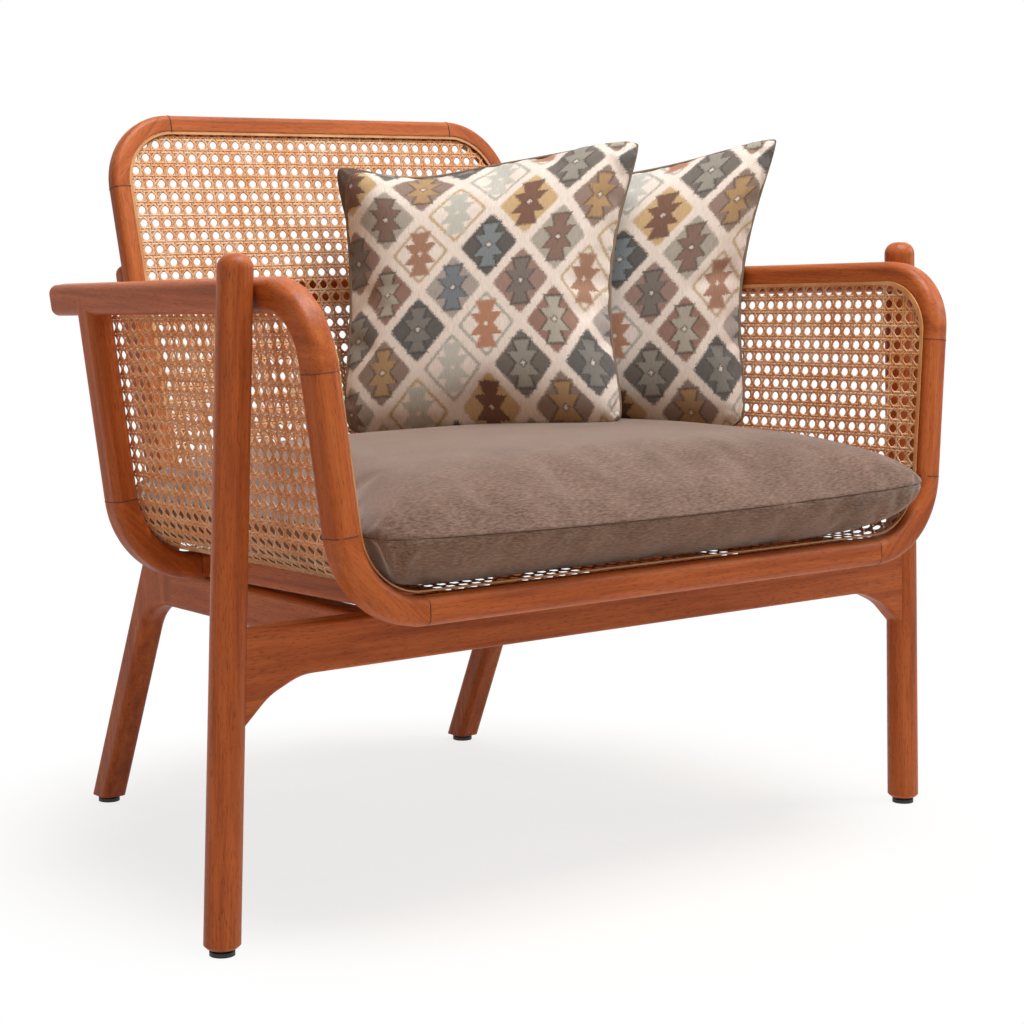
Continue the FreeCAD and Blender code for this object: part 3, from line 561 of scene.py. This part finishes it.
tubFront, tubRear = hoopLengths(tub["front"]), hoopLengths(tub["rear"])
tubMean = {key: (tubFront[key] + tubRear[key]) / 2 for key in tubFront}
tubReach = tubMean["flat"] + tubMean["bend"] + tubMean["side"]
tubEdges = [hoopPoint(tub[end], np.zeros(1), np.zeros(1), np.ones(1))[0] for end in ("front", "rear")]
tubDepth = float(np.linalg.norm(tubEdges[1] - tubEdges[0]))


def tubPoint(u, v):
    along = np.abs(u)
    pastFlat = along - tubMean["flat"]
    zone = np.where(along < tubMean["flat"], 0, np.where(along < tubMean["flat"] + tubMean["bend"], 1, 2))
    share = np.where(zone == 0, along / tubMean["flat"], np.where(
        zone == 1, pastFlat / tubMean["bend"], (pastFlat - tubMean["bend"]) / tubMean["side"]))
    sign = np.where(u < 0, -1.0, 1.0)
    ahead = hoopPoint(tub["front"], share, zone, sign)
    behind = hoopPoint(tub["rear"], share, zone, sign)
    part = (v / tubDepth)[:, None]
    return ahead * (1 - part) + behind * part


def layOnTub(u, v, w):
    nudge = tub["nudge"]
    alongU = tubPoint(u + nudge, v) - tubPoint(u - nudge, v)
    alongV = tubPoint(u, v + nudge) - tubPoint(u, v - nudge)
    normals = unitRows(np.cross(alongU, alongV))
    return (tubPoint(u, v) + normals * w[:, None]) * mm, normals


def armEdge():
    # the line that the cane's upper edge follows, below the arm's centre line, in the side view
    ends = []
    for hoop in (tub["front"], tub["rear"]):
        origin, up = hoopAxes(hoop)[:2]
        ends.append((origin + up * hoop["rise"])[1:])
    way = (ends[1] - ends[0]) / np.linalg.norm(ends[1] - ends[0])
    down = np.array([way[1], -way[0]])
    return ends[0] + down * (tub["armSetback"] - tub["hoopDepth"] / 2), down


armPoint, armDown = armEdge()


def insideTub(u, v):
    margin = tub["reedWidth"] / 2
    below = (tubPoint(u, v)[:, 1:] - armPoint) @ armDown
    clear = (v >= margin) & (v <= tubDepth - margin) & (below >= margin)
    return clear & clearOfRound(v, below, tub["armBend"], margin)


seatPanel = {"halfU": tubReach, "lowV": 0.0, "highV": tubDepth, "inside": insideTub, "lay": layOnTub}
weavePanel("seat_cane", seatPanel, {
    "warp": ("warp",), "weft": ("weft",), "slant_up": ("slantUp",), "slant_down": ("slantDown",)})


# Back panel: a flat sheet with rounded corners in the tilted frame

backSheet = {
    "half": 255.76, "top": -7.0, "drop": 448.0, "radius": 63.0, "tilt": 15.4, "forward": 5.7,
    "bottomY": 400.0, "bottomZ": 321.5, "frameDrop": 462.0,
}


def layOnBack(u, v, w):
    low, up, normal = leaningAxes(backSheet["tilt"], backSheet["bottomY"], backSheet["bottomZ"])
    origin = low + up * backSheet["frameDrop"]
    points = origin + np.outer(u, (1, 0, 0)) + np.outer(v, up) + np.outer(w + backSheet["forward"], normal)
    return points * mm, np.repeat(normal[None], len(u), 0)


def insideBack(u, v):
    margin = tub["reedWidth"] / 2
    sideways = backSheet["half"] - np.abs(u)
    upright = np.minimum(backSheet["top"] - v, v - backSheet["top"] + backSheet["drop"])
    clear = (sideways >= margin) & (upright >= margin)
    return clear & clearOfRound(sideways, upright, backSheet["radius"], margin)


backPanel = {
    "halfU": backSheet["half"], "lowV": backSheet["top"] - backSheet["drop"], "highV": backSheet["top"],
    "inside": insideBack, "lay": layOnBack,
}
weavePanel("back_cane", backPanel, {"pairs": ("warp", "weft"), "slants": ("slantUp", "slantDown")})
print("cane woven")


# Covers: two sheets sewn along one edge, crowned, then swollen by pressure

crownCurve = {"power": 2.4, "root": 0.62, "least": 1e-6}
stuffing = {"quality": 6, "mass": 0.25, "pressure": 4.0, "frames": 20, "cap": 9.0}


def crownRise(roomS, roomT, inset):
    # rise of a cover from its seam, 0 to 1, from the distances to its sides and ends
    perS, perT = [1 / np.maximum(room, crownCurve["least"]) for room in (roomS, roomT)]
    share = np.clip(1 / np.hypot(perS, perT) / inset, 0, 1)
    return (1 - (1 - share) ** crownCurve["power"]) ** crownCurve["root"]


def coverMesh(name, grid, upper, lower, axes):
    # upper and lower give (a, b, n) in mm for s and t from -1 to 1; the sheets share their border
    columns, rows = grid
    s = np.sin(np.linspace(-math.pi / 2, math.pi / 2, columns + 1))
    t = np.sin(np.linspace(-math.pi / 2, math.pi / 2, rows + 1))
    gridS, gridT = [part.ravel() for part in np.meshgrid(s, t)]
    border = (np.abs(gridS) > 1 - tiny) | (np.abs(gridT) > 1 - tiny)
    inner = np.flatnonzero(~border)
    local = np.concatenate([upper(gridS, gridT), lower(gridS[inner], gridT[inner])])
    lowIndex = np.arange(len(gridS))
    lowIndex[inner] = len(gridS) + np.arange(len(inner))
    top = []
    for row in range(rows):
        for column in range(columns):
            first = row * (columns + 1) + column
            top.append([first, first + 1, first + columns + 2, first + columns + 1])
    turned = [quad[::-1] for quad in top]
    faces = top + [[int(lowIndex[corner]) for corner in quad] for quad in turned]
    origin, across, up, normal = axes
    a, b, n = local.T
    points = origin + np.outer(a, across) + np.outer(b, up) + np.outer(n, normal)
    mesh = bpy.data.meshes.new(name)
    mesh.from_pydata((points * mm).tolist(), [], faces)
    uv = mesh.uv_layers.new(name="cut")
    corners = np.array(top + turned).ravel()
    uv.data.foreach_set("uv", np.stack([gridS[corners], gridT[corners]], 1).ravel())
    mesh.polygons.foreach_set("material_index", [0] * len(top) + [1] * len(turned))
    mesh.polygons.foreach_set("use_smooth", [True] * len(faces))
    piece = bpy.data.objects.new(name, mesh)
    scene.collection.objects.link(piece)
    seam = piece.vertex_groups.new(name="seam")
    seam.add([int(index) for index in np.flatnonzero(border)], 1.0, "REPLACE")
    return piece, np.flatnonzero(border), np.arange(len(points)) >= len(gridS)


def swell(piece, filling):
    # cloth under pressure, held at the seam; growth leaves spare cloth that puckers beside the seam
    start = readPoints(piece.data)
    cloth = piece.modifiers.new("swell", "CLOTH")
    settings = {
        "quality": filling["quality"], "mass": filling["mass"], "tension_stiffness": filling["stiffness"],
        "compression_stiffness": filling["stiffness"], "shear_stiffness": filling["stiffness"] / 2,
        "bending_stiffness": filling["bending"], "use_pressure": True,
        "uniform_pressure_force": filling["pressure"], "vertex_group_mass": "seam",
        "shrink_min": -filling["growth"],
    }
    for key, value in settings.items():
        setattr(cloth.settings, key, value)
    cloth.settings.effector_weights.gravity = 0
    cloth.point_cache.frame_start = 1
    cloth.point_cache.frame_end = filling["frames"]
    for step in range(1, filling["frames"] + 1):
        scene.frame_set(step)
    swollen = readPoints(piece.evaluated_get(bpy.context.evaluated_depsgraph_get()).data)
    piece.modifiers.remove(cloth)
    scene.frame_set(1)
    moved = swollen - start
    reach = np.linalg.norm(moved, axis=1)
    cap = filling["cap"] * mm
    moved *= (cap * np.tanh(reach / cap) / np.maximum(reach, tiny))[:, None]
    writePoints(piece.data, start + moved)
    print(piece.name, "swollen by up to", round(float(reach.max()) / mm, 1), "mm before the cap")


def sewRound(name, piece, seam, axes, trim, finish):
    # a round thread or piping that follows a cover's seam
    across, up, normal = axes[1:]
    thickness, sides = trim
    points = readPoints(piece.data)[seam]
    local = points / mm
    local = local - local.mean(0)
    ring = np.argsort(np.arctan2(local @ up, local @ across))
    line = (points[ring], np.repeat(normal[None], len(ring), 0), plainTone)
    return sweepLines(name, [line], thickness, thickness, sides, finish, closed=True)


def roundOff(piece):
    rounding = piece.modifiers.new("round", "SUBSURF")
    rounding.levels = 1
    rounding.render_levels = 1


# Cotton drill, a brown twill with a dull yarny surface: pillow backs, piping and the cushion's seam, whose
# thread is drawn dark as painted shade of the seam's groove

drill = {
    # real yarn is about 0.5 mm, drawn coarser so that it shows
    "speckle": 1.1, "relief": 0.4, "bump": 0.4,
    "surface": {"Roughness": 0.9, "Specular IOR Level": 0.2},
}
backDrill = makeSpeckled("brown_cotton_drill", {**drill, "dark": "53433A", "light": "6C594C"})
pipingDrill = makeSpeckled("olive_brown_piping", {**drill, "dark": "6B5A4A", "light": "86735F"})
# the seam thread's dark colour is partly painted shade of the groove along the seam
seamThreadShade = makeSpeckled("seam_thread_painted_shade", {**drill, "dark": "3E2F28", "light": "4E3D34"})


# Fine chenille of the seat: short velvety pile in close weft ribs, so the taupe shifts with the light

chenille = {
    "stops": ((0.45, "563F34"), (0.68, "71584B"), (0.92, "8A6F62")),
    "ribLength": 6.0, "ribWidth": 1.4, "pileDetail": 3.0, "pileDepth": 0.6, "pileBump": 0.5,
    "cloud": 45.0, "cloudShare": 0.35,
    "surface": {"Roughness": 0.92, "Sheen Weight": 0.75, "Sheen Roughness": 0.4, "Specular IOR Level": 0.2},
}


def makeChenille():
    material, tree, shader = newMaterial("taupe_chenille")
    place = addNode(tree, "ShaderNodeTexCoord").outputs["Object"]
    along = 1 / (chenille["ribLength"] * mm)
    across = 1 / (chenille["ribWidth"] * mm)
    ribs = addNode(tree, "ShaderNodeMapping", values={"Scale": (along, across, across)},
                   links={"Vector": place})
    pile = addNode(tree, "ShaderNodeTexNoise", values={"Scale": 1.0, "Detail": chenille["pileDetail"]},
                   links={"Vector": ribs})
    cloud = addNode(tree, "ShaderNodeTexNoise", values={"Scale": 1 / (chenille["cloud"] * mm)},
                    links={"Vector": place})
    mixed = addNode(tree, "ShaderNodeMath", {"operation": "MULTIPLY_ADD"}, {1: chenille["cloudShare"]},
                    {0: cloud, 2: pile})
    colour = addNode(tree, "ShaderNodeValToRGB", links={"Fac": mixed})
    setStops(colour, chenille["stops"])
    bump = addNode(tree, "ShaderNodeBump",
                   values={"Strength": chenille["pileBump"], "Distance": chenille["pileDepth"] * mm},
                   links={"Height": pile})
    feedNode(tree, shader, chenille["surface"], {"Base Color": colour, "Normal": bump})
    return material


# Seat cushion: a broad knife-edged pad with a deep crown and a flatter underside

cushion = {
    "frontHalf": 358.0, "rearHalf": 336.0, "front": -32.0, "rear": 482.0, "pull": 12.0, "lift": 19.9,
    "under": 51.0, "crown": 55.0, "crownInset": 155.0, "underInset": 46.0,
    "sideInsets": (58.0, 125.0), "sidePlaces": (-0.6, 0.6),     # the underside fills out slower on the right
    "corner": 8.0, "cornerPower": 12,
    "frontPull": -4.0,      # the front edge bows forward, the others are drawn in
    "sag": 6.0,             # fall of the front seam towards its middle
    "thread": (1.1, 6),     # thickness and sides
    "seamGroove": 2.2, "grid": (84, 62),
    "filling": {**stuffing, "stiffness": 18.0, "bending": 0.8, "growth": 0.01},
}


def cushionAxes():
    front, rear = [hoopAxes(tub[end])[0] for end in ("front", "rear")]
    run = (rear - front) / np.linalg.norm(rear - front)
    across = np.array([1.0, 0.0, 0.0])
    rise = np.cross(across, run)
    return front + rise * cushion["lift"], across, run, rise


def cushionPlan(s, t):
    half = cushion["frontHalf"] + (cushion["rearHalf"] - cushion["frontHalf"]) * (t + 1) / 2
    middle = (cushion["front"] + cushion["rear"]) / 2
    deep = (cushion["rear"] - cushion["front"]) / 2
    rounding = cushion["corner"] * np.abs(s * t) ** cushion["cornerPower"]
    endPull = np.where(t < 0, cushion["frontPull"], cushion["pull"])
    a = s * (half - cushion["pull"] * (1 - t ** 2) - rounding)
    b = middle + t * (deep - endPull * (1 - s ** 2) - rounding)
    edge = cushion["under"] - cushion["sag"] * (1 - s ** 2) * ((1 - t) / 2) ** 2
    return a, b, edge, half * (1 - np.abs(s)), deep * (1 - np.abs(t))


def cushionTop(s, t):
    a, b, edge, fromSide, fromEnd = cushionPlan(s, t)
    rise = crownRise(fromSide, fromEnd, cushion["crownInset"])
    return np.stack([a, b, edge + (cushion["under"] + cushion["crown"] - edge) * rise], 1)


def cushionUnder(s, t):
    # the right front corner ends in a raised point
    a, b, edge, fromSide, fromEnd = cushionPlan(s, t)
    fill = np.interp(s, cushion["sidePlaces"], cushion["sideInsets"])
    fall = crownRise(fromSide * cushion["underInset"] / fill, fromEnd, cushion["underInset"])
    return np.stack([a, b, edge * (1 - fall)], 1)


def makeCushion():
    axes = cushionAxes()
    piece, seam, below = coverMesh("cushion_cover", cushion["grid"], cushionTop, cushionUnder, axes)
    fabric = makeChenille()
    piece.data.materials.append(fabric)
    piece.data.materials.append(fabric)
    start = readPoints(piece.data)
    swell(piece, cushion["filling"])
    points = readPoints(piece.data)
    rise = axes[3]
    sunk = np.minimum((points - start) @ rise, 0)      # the underside rests on the cane and stays up
    points -= np.outer(np.where(below, sunk, 0), rise)
    inward = points.mean(0) - points[seam]
    inward -= np.outer(inward @ rise, rise)
    points[seam] += unitRows(inward) * cushion["seamGroove"] * mm
    writePoints(piece.data, points)
    # the dark thread along the seam is partly painted shade of its groove
    thread = sewRound("cushion_seam", piece, seam, axes, cushion["thread"], seamThreadShade)
    roundOff(piece)
    for made in (piece, thread):
        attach(made, "cushion")
    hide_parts("seat_cushion")


makeCushion()
print("seat cushion made")


# Printed cotton of the pillows: a cream lattice with soft dyed edges and stepped hourglass figures

printCloth = {
    "cream": "DECFC3",
    "pitchWide": 87.0, "pitchTall": 97.0, "band": 11.0, "rounding": 0.12, "crossing": (12.0, -4.5),
    "cut": 172.0,           # half the flat cloth
    "figureHalfTall": 29.0, "figureUnit": 32.0,
    "figureShares": ((0.0, 10.0), (13.0, 20.5), (13.4, 8.0), (29.0, 13.5)),   # height and half width
    "eye": 3.0, "line": 2.3, "insetLine": 3.2, "soft": 1.9,
    # room, colour and strength of each layer, from the cream ground up
    "layers": (("inside", "inset", 1.0), ("insetRoom", "ground", 1.0), ("figure", "outline", 0.9),
               ("innerFigure", "figure", 1.0), ("eyeRing", "outline", 0.8), ("eyeRoom", "cream", 0.85)),
    # the dye creeps along the threads, so edges waver every 2 to 3 mm
    "creepScale": 0.42, "creepDetail": 3.0, "drift": 5.5,
    # real threads are under 0.5 mm, drawn 0.9 mm wide with streaks about 11 mm long so that they show
    "threadScale": (1 / 0.9, 0.09, 1),
    "threadStops": ((0.3, 0.72), (0.62, 1.0)), "threadShare": 0.6, "threadBump": 0.35, "threadDepth": 0.4,
    "surface": {"Roughness": 0.9, "Specular IOR Level": 0.2, "Sheen Weight": 0.1},
    "colourStride": 5,
}
colourParts = ("ground", "figure", "inset", "outline")
colourways = (
    ("94796E", "766D66", "94796E", "4C4640"), ("8F7062", "A59C8E", "8F7062", "4A423B"),
    ("5F5B57", "78746D", "5F5B57", "4A4642"), ("DECFC3", "BBB6AC", "A39E94", "BBB6AC"),
    ("BFA077", "775647", "BFA077", "5C4439"), ("A49A8D", "80665A", "A49A8D", "544A44"),
    ("DECFC3", "9C7660", "B49B7C", "9C7660"), ("A0948C", "72777A", "A0948C", "474849"),
    ("DECFC3", "AB7B62", "A29D93", "AB7B62"), ("6E655D", "8E877C", "6E655D", "423D39"),
    ("8C766A", "A68661", "8C766A", "54483F"), ("DECFC3", "B7B3A8", "B69A73", "B7B3A8"),
    ("5D5853", "7A7F80", "5D5853", "433F3B"),
)


def printSums():
    # the lattice and its figures as sums: a name, an operation, and numbers or names of earlier sums
    wide, tall = printCloth["pitchWide"], printCloth["pitchTall"]
    across = wide * tall / math.hypot(wide, tall)
    unit, line, count = printCloth["figureUnit"], printCloth["line"], len(colourways)
    return (
        ("wide", "DIVIDE", "dyeX", wide), ("tall", "DIVIDE", "dyeY", tall),
        ("down", "SUBTRACT", "wide", "tall"), ("up", "ADD", "wide", "tall"),
        ("downCell", "FLOOR", "down"), ("upCell", "FLOOR", "up"),
        ("downShare", "FRACT", "down"), ("upShare", "FRACT", "up"),
        ("downOff", "SUBTRACT", "downShare", 0.5), ("upOff", "SUBTRACT", "upShare", 0.5),
        ("downSize", "ABSOLUTE", "downOff"), ("upSize", "ABSOLUTE", "upOff"),
        # distance inside the diamond's edge, in mm
        ("widest", "SMOOTH_MAX", "downSize", "upSize", printCloth["rounding"]),
        ("inside", "MULTIPLY_ADD", "widest", -across, across / 2 - printCloth["band"] / 2),
        ("insetRoom", "SUBTRACT", "inside", printCloth["insetLine"]),
        # distances from the diamond's middle, in mm
        ("total", "ADD", "downOff", "upOff"), ("lean", "SUBTRACT", "upOff", "downOff"),
        ("x", "MULTIPLY", "total", wide / 2), ("y", "MULTIPLY", "lean", tall / 2),
        ("sideways", "ABSOLUTE", "x"), ("upright", "ABSOLUTE", "y"),
        # the figure, whose half width at each height is drawn by a ramp
        ("height", "DIVIDE", "upright", unit), ("halfWidth", "MULTIPLY", "figureRamp", unit),
        ("sideRoom", "SUBTRACT", "halfWidth", "sideways"),
        ("endRoom", "SUBTRACT", printCloth["figureHalfTall"], "upright"),
        ("figure", "MINIMUM", "sideRoom", "endRoom"), ("innerFigure", "SUBTRACT", "figure", line),
        ("eyeSum", "ADD", "sideways", "upright"), ("eyeRoom", "SUBTRACT", printCloth["eye"], "eyeSum"),
        ("eyeRing", "ADD", "eyeRoom", line),
        # colourway of the cell
        ("stride", "MULTIPLY_ADD", "upCell", printCloth["colourStride"], "downCell"),
        ("number", "FLOORED_MODULO", "stride", count),
        ("pick", "MULTIPLY_ADD", "number", 1 / count, 0.5 / count),
    )


def makePrint():
    material, tree, shader = newMaterial("printed_cotton")
    cut = addNode(tree, "ShaderNodeUVMap", {"uv_map": "cut"})
    size = printCloth["cut"]
    crossing = [-place for place in printCloth["crossing"]]
    flat = addNode(tree, "ShaderNodeMapping", values={"Scale": (size, size, 1), "Location": (*crossing, 0)},
                   links={"Vector": cut})
    creep = addNode(tree, "ShaderNodeTexNoise", {"noise_dimensions": "2D"},
                    {"Scale": printCloth["creepScale"], "Detail": printCloth["creepDetail"]},
                    {"Vector": flat})
    centred = addNode(tree, "ShaderNodeVectorMath", {"operation": "SUBTRACT"}, {1: (0.5, 0.5, 0.5)},
                      {0: creep.outputs["Color"]})
    drift = addNode(tree, "ShaderNodeVectorMath", {"operation": "MULTIPLY"},
                    {1: (printCloth["drift"], printCloth["drift"], 0)}, {0: centred})
    dyed = addNode(tree, "ShaderNodeVectorMath", {"operation": "ADD"}, links={0: flat, 1: drift})
    parts = addNode(tree, "ShaderNodeSeparateXYZ", links={"Vector": dyed})
    figureRamp = addNode(tree, "ShaderNodeValToRGB")
    unit = printCloth["figureUnit"]
    setStops(figureRamp, [(height / unit, width / unit) for height, width in printCloth["figureShares"]])
    made = {"dyeX": parts.outputs["X"], "dyeY": parts.outputs["Y"], "figureRamp": figureRamp}
    for name, operation, *terms in printSums():
        values, links = {}, {}
        for socket, term in enumerate(terms):
            if isinstance(term, str):
                links[socket] = made[term]
            else:
                values[socket] = term
        made[name] = addNode(tree, "ShaderNodeMath", {"operation": operation}, values, links)
    feedNode(tree, figureRamp, links={"Fac": made["height"]})
    ramps = {}
    for index, part in enumerate(colourParts):
        ramps[part] = addNode(tree, "ShaderNodeValToRGB", links={"Fac": made["pick"]})
        stops = [(number / len(colourways), way[index]) for number, way in enumerate(colourways)]
        setStops(ramps[part], stops, "CONSTANT")
    colour = None
    for room, part, strength in printCloth["layers"]:
        soft = addNode(tree, "ShaderNodeMapRange", {"interpolation_type": "SMOOTHSTEP"},
                       {"From Min": -printCloth["soft"], "From Max": printCloth["soft"], "To Max": strength},
                       {"Value": made[room]})
        values, links = {}, {"Factor": soft}
        for socket, source in (("A", colour), ("B", ramps.get(part))):
            if source:
                links[socket] = source
            else:
                values[socket] = hexLinear(printCloth["cream"])
        colour = addNode(tree, "ShaderNodeMix", {"data_type": "RGBA"}, values, links)
    # warp threads show through the dye as fine upright streaks
    threads = addNode(tree, "ShaderNodeMapping", values={"Scale": printCloth["threadScale"]},
                      links={"Vector": flat})
    warp = addNode(tree, "ShaderNodeTexNoise", {"noise_dimensions": "2D"}, {"Scale": 1.0},
                   {"Vector": threads})
    shade = addNode(tree, "ShaderNodeValToRGB", links={"Fac": warp})
    setStops(shade, printCloth["threadStops"])
    worn = addNode(tree, "ShaderNodeMix", {"data_type": "RGBA", "blend_type": "MULTIPLY"},
                   {"Factor": printCloth["threadShare"]}, {"A": colour, "B": shade})
    bump = addNode(tree, "ShaderNodeBump",
                   values={"Strength": printCloth["threadBump"], "Distance": printCloth["threadDepth"] * mm},
                   links={"Height": warp})
    feedNode(tree, shader, printCloth["surface"], {"Base Color": worn, "Normal": bump})
    return material


# Throw pillows: square covers with one slumped top corner, one drawn-out ear and piped edges

pillow = {
    "half": 162.5, "ear": 14.0, "crown": 45.0, "flatHalf": 50.5,
    "piping": (4.0, 8),     # thickness and sides
    "corner": 17.0, "cornerPower": 5, "dipPlace": 0.22, "dipWidth": 0.2, "curlWidth": 0.45,
    "spillWay": (-0.7, 0.7), "grid": (58, 58),
    "filling": {**stuffing, "stiffness": 12.0, "bending": 0.4, "growth": 0.03},
}
# corners go round from the lower left one; the dip is a sag beside the slumped corner, which curls
# forward so far that the back sheet spills out behind it
pillowLies = {
    "left": {
        "yaw": 42.0, "tilt": 23.0, "roll": 2.5, "body": "left_pillow",
        "corners": ((-172.0, -171.0), (158.0, -171.0), (188.0, 187.0), (-168.0, 156.0)),
        "pulls": {"left": 15.0, "right": 37.0, "top": 18.0, "bottom": 3.0},
        "dip": 13.0, "curl": 24.0, "spill": 96.0,
    },
    "right": {
        "yaw": 42.0, "tilt": 14.0, "roll": 2.0, "body": "right_pillow",
        "corners": ((-168.0, -169.0), (167.0, -170.0), (216.0, 190.0), (-164.0, 144.0)),
        "pulls": {"left": 12.0, "right": 36.0, "top": 28.0, "bottom": 3.0},
        "dip": 0.0, "curl": 6.0, "spill": 0.0,
    },
}


def pillowAxes(name):
    # the cover stands where its CAD solid stands, turned alike
    yaw, tilt, roll = [math.radians(pillowLies[name][key]) for key in ("yaw", "tilt", "roll")]
    across = np.array([math.cos(yaw), -math.sin(yaw), 0.0])
    up = np.array([math.sin(tilt) * math.sin(yaw), math.sin(tilt) * math.cos(yaw), math.cos(tilt)])
    across, up = (across * math.cos(roll) + up * math.sin(roll),
                  up * math.cos(roll) - across * math.sin(roll))
    normal = np.cross(across, up)
    solid = readPoints(nodes["pillow_" + name].data) / mm
    middles = [((solid @ way).min() + (solid @ way).max()) / 2 for way in (across, up, normal)]
    origin = across * (middles[0] - pillow["ear"] / 2) + up * middles[1] + normal * middles[2]
    return origin, across, up, normal


def pillowPlan(shape, s, t):
    lowLeft, lowRight, highRight, highLeft = np.array(shape["corners"])
    shareS, shareT = ((s + 1) / 2)[:, None], ((t + 1) / 2)[:, None]
    low = lowLeft + (lowRight - lowLeft) * shareS
    high = highLeft + (highRight - highLeft) * shareS
    place = low + (high - low) * shareT
    pulls = shape["pulls"]
    leftIn = pulls["left"] * (1 - shareS) - pulls["right"] * shareS
    dip = shape["dip"] * np.exp(-((shareS - pillow["dipPlace"]) / pillow["dipWidth"]) ** 2)
    bottomIn = pulls["bottom"] * (1 - shareT) - pulls["top"] * shareT
    place[:, 0] += leftIn[:, 0] * (1 - t ** 2)
    place[:, 1] += bottomIn[:, 0] * (1 - s ** 2) - (dip * shareT ** 2)[:, 0]
    rounding = pillow["corner"] * np.abs(s * t) ** pillow["cornerPower"]
    return place - np.stack([np.sign(s) * rounding, np.sign(t) * rounding], 1)


def pillowSheet(shape, side):
    inset = pillow["half"] - pillow["flatHalf"]

    def sheet(s, t):
        place = pillowPlan(shape, s, t)
        rise = crownRise(pillow["half"] * (1 - np.abs(s)), pillow["half"] * (1 - np.abs(t)), inset)
        near = np.exp(-(np.hypot(s + 1, t - 1) / pillow["curlWidth"]) ** 2)
        if side < 0:
            place = place + np.outer(shape["spill"] * near * rise, pillow["spillWay"])
        return np.column_stack([place, side * pillow["crown"] * rise + shape["curl"] * near])

    return sheet


def makePillow(name, fabric):
    axes = pillowAxes(name)
    sheets = [pillowSheet(pillowLies[name], side) for side in (1, -1)]
    piece, seam = coverMesh("pillow_" + name + "_cover", pillow["grid"], *sheets, axes)[:2]
    piece.data.materials.append(fabric)
    piece.data.materials.append(backDrill)
    swell(piece, pillow["filling"])
    piping = sewRound("pillow_" + name + "_piping", piece, seam, axes, pillow["piping"], pipingDrill)
    roundOff(piece)
    for made in (piece, piping):
        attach(made, pillowLies[name]["body"])
    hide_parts("pillow_" + name)


printFabric = makePrint()
for name in pillowLies:
    makePillow(name, printFabric)
print("pillows made")


# White studio: a pale floor that keeps the shadow, and soft light

warmLight = (1.0, 0.8, 0.62)
studio = {
    "floor": 6.0, "paper": "F4E7D8", "paperRoughness": 0.9, "world": 0.18, "aim": (0.0, 0.0, 0.4),
    "shadow": 0.22, "clearFrom": 0.34, "clearTo": 0.62,     # share of the shadow shown, and where it ends
    "lamps": {
        "key": {"place": (0.3, -0.8, 3.0), "size": 1.6, "power": 105.0, "colour": (0.97, 1.0, 1.02)},
        "side": {"place": (2.4, -1.4, 1.6), "size": 0.8, "power": 14.0, "colour": (1.0, 1.0, 1.0)},
        "fill": {"place": (-2.4, -1.4, 1.3), "size": 1.6, "power": 9.0, "colour": warmLight},
    },
}
paperWhite = {"Color": (1, 1, 1, 1), "Strength": 1.0}


def seenStraight(tree):
    # 1 where the camera looks at the surface, straight or in a reflection or through glass
    path = addNode(tree, "ShaderNodeLightPath")
    seen = addNode(tree, "ShaderNodeMath", {"operation": "MAXIMUM"},
                   links={0: path.outputs["Is Camera Ray"], 1: path.outputs["Is Glossy Ray"]})
    return addNode(tree, "ShaderNodeMath", {"operation": "MAXIMUM"},
                   links={0: seen, 1: path.outputs["Is Transmission Ray"]})


def makeFloor():
    half = studio["floor"] / 2
    mesh = bpy.data.meshes.new("floor")
    corners = [(-half, -half, 0), (half, -half, 0), (half, half, 0), (-half, half, 0)]
    mesh.from_pydata(corners, [], [(0, 1, 2, 3)])
    floor = bpy.data.objects.new("floor", mesh)
    scene.collection.objects.link(floor)
    material, tree, shader = newMaterial("white_paper_floor")
    feedNode(tree, shader, {"Base Color": hexLinear(studio["paper"]), "Roughness": studio["paperRoughness"],
                            "Specular IOR Level": 0.0})
    white = addNode(tree, "ShaderNodeEmission", values=paperWhite)
    place = addNode(tree, "ShaderNodeTexCoord").outputs["Object"]
    spread = addNode(tree, "ShaderNodeVectorMath", {"operation": "LENGTH"}, links={0: place})
    clear = addNode(tree, "ShaderNodeMapRange", {"interpolation_type": "SMOOTHSTEP"},
                    {"From Min": studio["clearFrom"], "From Max": studio["clearTo"],
                     "To Min": 1 - studio["shadow"]}, {"Value": spread.outputs["Value"]})
    share = addNode(tree, "ShaderNodeMath", {"operation": "MULTIPLY"},
                    links={0: seenStraight(tree), 1: clear})
    mix = addNode(tree, "ShaderNodeMixShader", links={0: share, 1: shader, 2: white})
    feedNode(tree, tree.nodes["Material Output"], links={"Surface": mix})
    mesh.materials.append(material)


def makeWorld():
    world = bpy.data.worlds.new("studio")
    scene.world = world
    world.use_nodes = True
    tree = world.node_tree
    soft = tree.nodes["Background"]
    feedNode(tree, soft, {"Color": (*warmLight, 1), "Strength": studio["world"]})
    white = addNode(tree, "ShaderNodeBackground", values=paperWhite)
    mix = addNode(tree, "ShaderNodeMixShader", links={0: seenStraight(tree), 1: soft, 2: white})
    feedNode(tree, tree.nodes["World Output"], links={"Surface": mix})


def makeLamps():
    for name, lamp in studio["lamps"].items():
        data = bpy.data.lights.new(name, "AREA")
        data.size = lamp["size"]
        data.energy = lamp["power"]
        data.color = lamp["colour"]
        light = bpy.data.objects.new(name, data)
        light.location = lamp["place"]
        aim = Vector(studio["aim"]) - Vector(lamp["place"])
        light.rotation_euler = aim.to_track_quat("-Z", "Y").to_euler()
        scene.collection.objects.link(light)


makeFloor()
makeWorld()
makeLamps()
print("studio lit")
